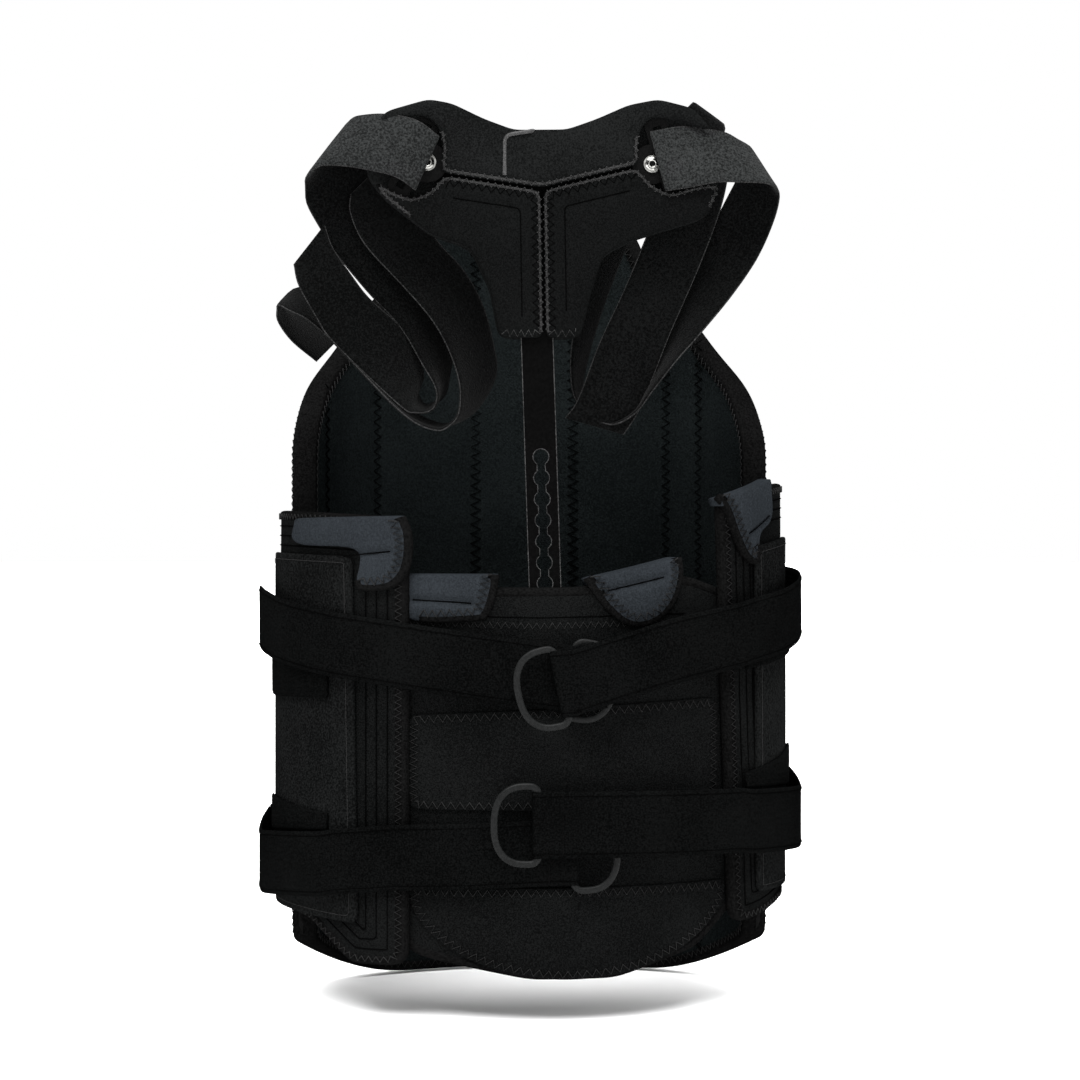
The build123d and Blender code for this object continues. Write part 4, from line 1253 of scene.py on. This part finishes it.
def pull_ring(place):
    """The D-shaped pull: flat stock with round edges, bent in one loop that starts at its bar."""
    hinge = joints[f"ring_{place}_swing"]
    up = np.array(hinge["axis"])
    spread = np.array([v.co for v in nodes[f"d_ring_{place}"].data.vertices]) - hinge["pos_m"]
    level = spread @ up
    flat = spread - np.outer(level, up)
    out = flat.mean(axis=0)
    out /= np.linalg.norm(out)
    middle = hinge["pos_m"] + up * 0.5 * (level.max() + level.min())
    stock = np.array([2.1, 1.8]) * MM
    tall = 0.5 * np.ptp(level) - stock[0]
    long = (spread @ out).max() - stock[0]
    limb, corner = 0.3 * long, 3 * MM
    turn = np.linspace(math.pi / 2, -math.pi / 2, 40)
    arc = np.column_stack((limb + (long - limb) * np.cos(turn) ** 0.85,
                           tall * np.sign(turn) * np.abs(np.sin(turn)) ** 0.8))
    loop = np.vstack([[(0, corner - tall), (0, tall - corner), (corner, tall)], arc, [(corner, -tall)]])
    loop = smooth(resample(loop, 1 * MM), 4)
    path = middle + np.outer(loop[:, 0], out) + np.outer(loop[:, 1], up)
    sideways = inward(loop)
    sideways = np.outer(sideways[:, 0], out) + np.outer(sideways[:, 1], up)
    round_about = np.linspace(0, 2 * math.pi, 16, endpoint=False)
    across = stock[0] * np.sign(np.cos(round_about)) * np.abs(np.cos(round_about)) ** 0.7
    through = stock[1] * np.sign(np.sin(round_about)) * np.abs(np.sin(round_about)) ** 0.7
    rings = (path[:, None] + across[None, :, None] * sideways[:, None]
             + through[None, :, None] * np.cross(out, up))
    piece = mesh_piece(f"pull_ring_{place}", *loft(rings, closed_path=True), "ring")
    turn_outward(piece)
    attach(piece, f"ring_{place}")
    stand_for(piece, "ring_plastic", f"d_ring_{place}")


def bevelled(node, look, slot, width, body, highlight_look=None):
    """A CAD piece with its sharp edges rounded off; the rounded faces can take a second, paler material as
    a painted highlight.
    """
    mesh = nodes[node].data.copy()
    mesh.name = f"{node}_shape"
    mesh.materials.clear()
    mesh.materials.append(looks[look])
    mesh.materials.append(looks[highlight_look or look])
    piece = bpy.data.objects.new(f"{node}_finished", mesh)
    bpy.context.scene.collection.objects.link(piece)
    work = bmesh.new()
    work.from_mesh(mesh)
    bmesh.ops.remove_doubles(work, verts=work.verts, dist=1e-6)
    bmesh.ops.dissolve_limit(work, angle_limit=math.radians(2), verts=work.verts, edges=work.edges)
    work.to_mesh(mesh)
    work.free()
    round_off = piece.modifiers.new("rounded_edges_painted_highlight", "BEVEL")
    round_off.width = width
    round_off.segments = 3
    round_off.limit_method = "ANGLE"
    round_off.angle_limit = math.radians(35)
    # the rounded faces take the second material, a painted highlight on the bar
    round_off.material = 1
    piece.data = bpy.data.meshes.new_from_object(piece.evaluated_get(bpy.context.evaluated_depsgraph_get()))
    piece.modifiers.clear()
    piece.data.polygons.foreach_set("use_smooth", [True] * len(piece.data.polygons))
    piece.data.set_sharp_from_angle(angle=math.radians(40))
    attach(piece, body)
    return stand_for(piece, slot, node)


def front_loops(node):
    """Every boundary of the faces of a flat CAD piece that look forward, as closed loops."""
    mesh = nodes[node].data
    edges = set()
    for face in mesh.polygons:
        if face.normal.y < -0.98:
            corners = [tuple(round(c, 6) for c in mesh.vertices[v].co) for v in face.vertices]
            edges.update(zip(corners, corners[1:] + corners[:1]))
    follow = {a: b for a, b in sorted(edges) if (b, a) not in edges}
    return [np.array(loop) for loop in chains(follow)]


def bar():
    """The keyholed bar, with a painted highlight: pale rims round its keyholes and along its sides."""
    bevelled("sternal_bar", "bar", "bar_metal", 0.4 * MM, "sternal", "bar_edge")
    # thin pale cords round the front edges: painted highlight
    for number, loop in enumerate(front_loops("sternal_bar")):
        if len(loop) > 8:
            tube(f"bar_rim_{number}", loop, 0.3 * MM, "bar_edge", "sternal", closed=True, sides=5)


bar()
for place in ("upper_left", "upper_right", "lower_left", "lower_right"):
    side = -1 if place.endswith("left") else 1
    strap(place, side)
    tab(place, side)
    pull_ring(place)
    put(f"slide_loop_{place}", "wire", "loop_metal")


# ------------------------------------------------------------------ stage
eye_distance, eye_turn, eye_height = 1.6, math.radians(3), 0.126
target = Vector((0, -0.1, eye_height))
camera_data = bpy.data.cameras.new("photo_camera")
camera = bpy.data.objects.new("photo_camera", camera_data)
bpy.context.scene.collection.objects.link(camera)
camera.location = (-eye_distance * math.sin(eye_turn), -eye_distance * math.cos(eye_turn), eye_height)
camera.rotation_euler = (target - camera.location).to_track_quat("-Z", "Y").to_euler()
camera_data.sensor_width = 36
camera_data.lens = 83.3
bpy.context.scene.camera = camera


def sun(name, toward, spread, strength):
    """A broad soft light from one direction."""
    data = bpy.data.lights.new(name, "SUN")
    data.angle = math.radians(spread)
    data.energy = strength
    light = bpy.data.objects.new(name, data)
    light.rotation_euler = Vector(toward).to_track_quat("Z", "Y").to_euler()
    bpy.context.scene.collection.objects.link(light)


def studio():
    """A pale floor and soft white light from above and in front."""
    world = bpy.data.worlds.new("studio")
    world.use_nodes = True
    world.node_tree.nodes["Background"].inputs["Color"].default_value = (1, 1, 1, 1)
    world.node_tree.nodes["Background"].inputs["Strength"].default_value = 1.0
    bpy.context.scene.world = world
    bpy.context.scene.view_settings.view_transform = "Standard"
    sun("key", (-0.12, -0.42, 0.9), 50, 9.0)
    sun("fill", (0.6, -0.8, 0.1), 60, 0.5)
    sun("rear", (0.25, 0.95, 0.35), 60, 7.0)
    floor_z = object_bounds()[0].z - 1 * MM
    bpy.ops.mesh.primitive_plane_add(size=60, location=(0, 0, floor_z))
    floor = bpy.context.object
    floor.name = "floor"
    paper = bpy.data.materials.new("paper_white")
    paper.use_nodes = True
    paper.node_tree.nodes["Principled BSDF"].inputs["Base Color"].default_value = (0.9, 0.9, 0.9, 1)
    paper.node_tree.nodes["Principled BSDF"].inputs["Roughness"].default_value = 0.9
    floor.data.materials.append(paper)
    floor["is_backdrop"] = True


studio()
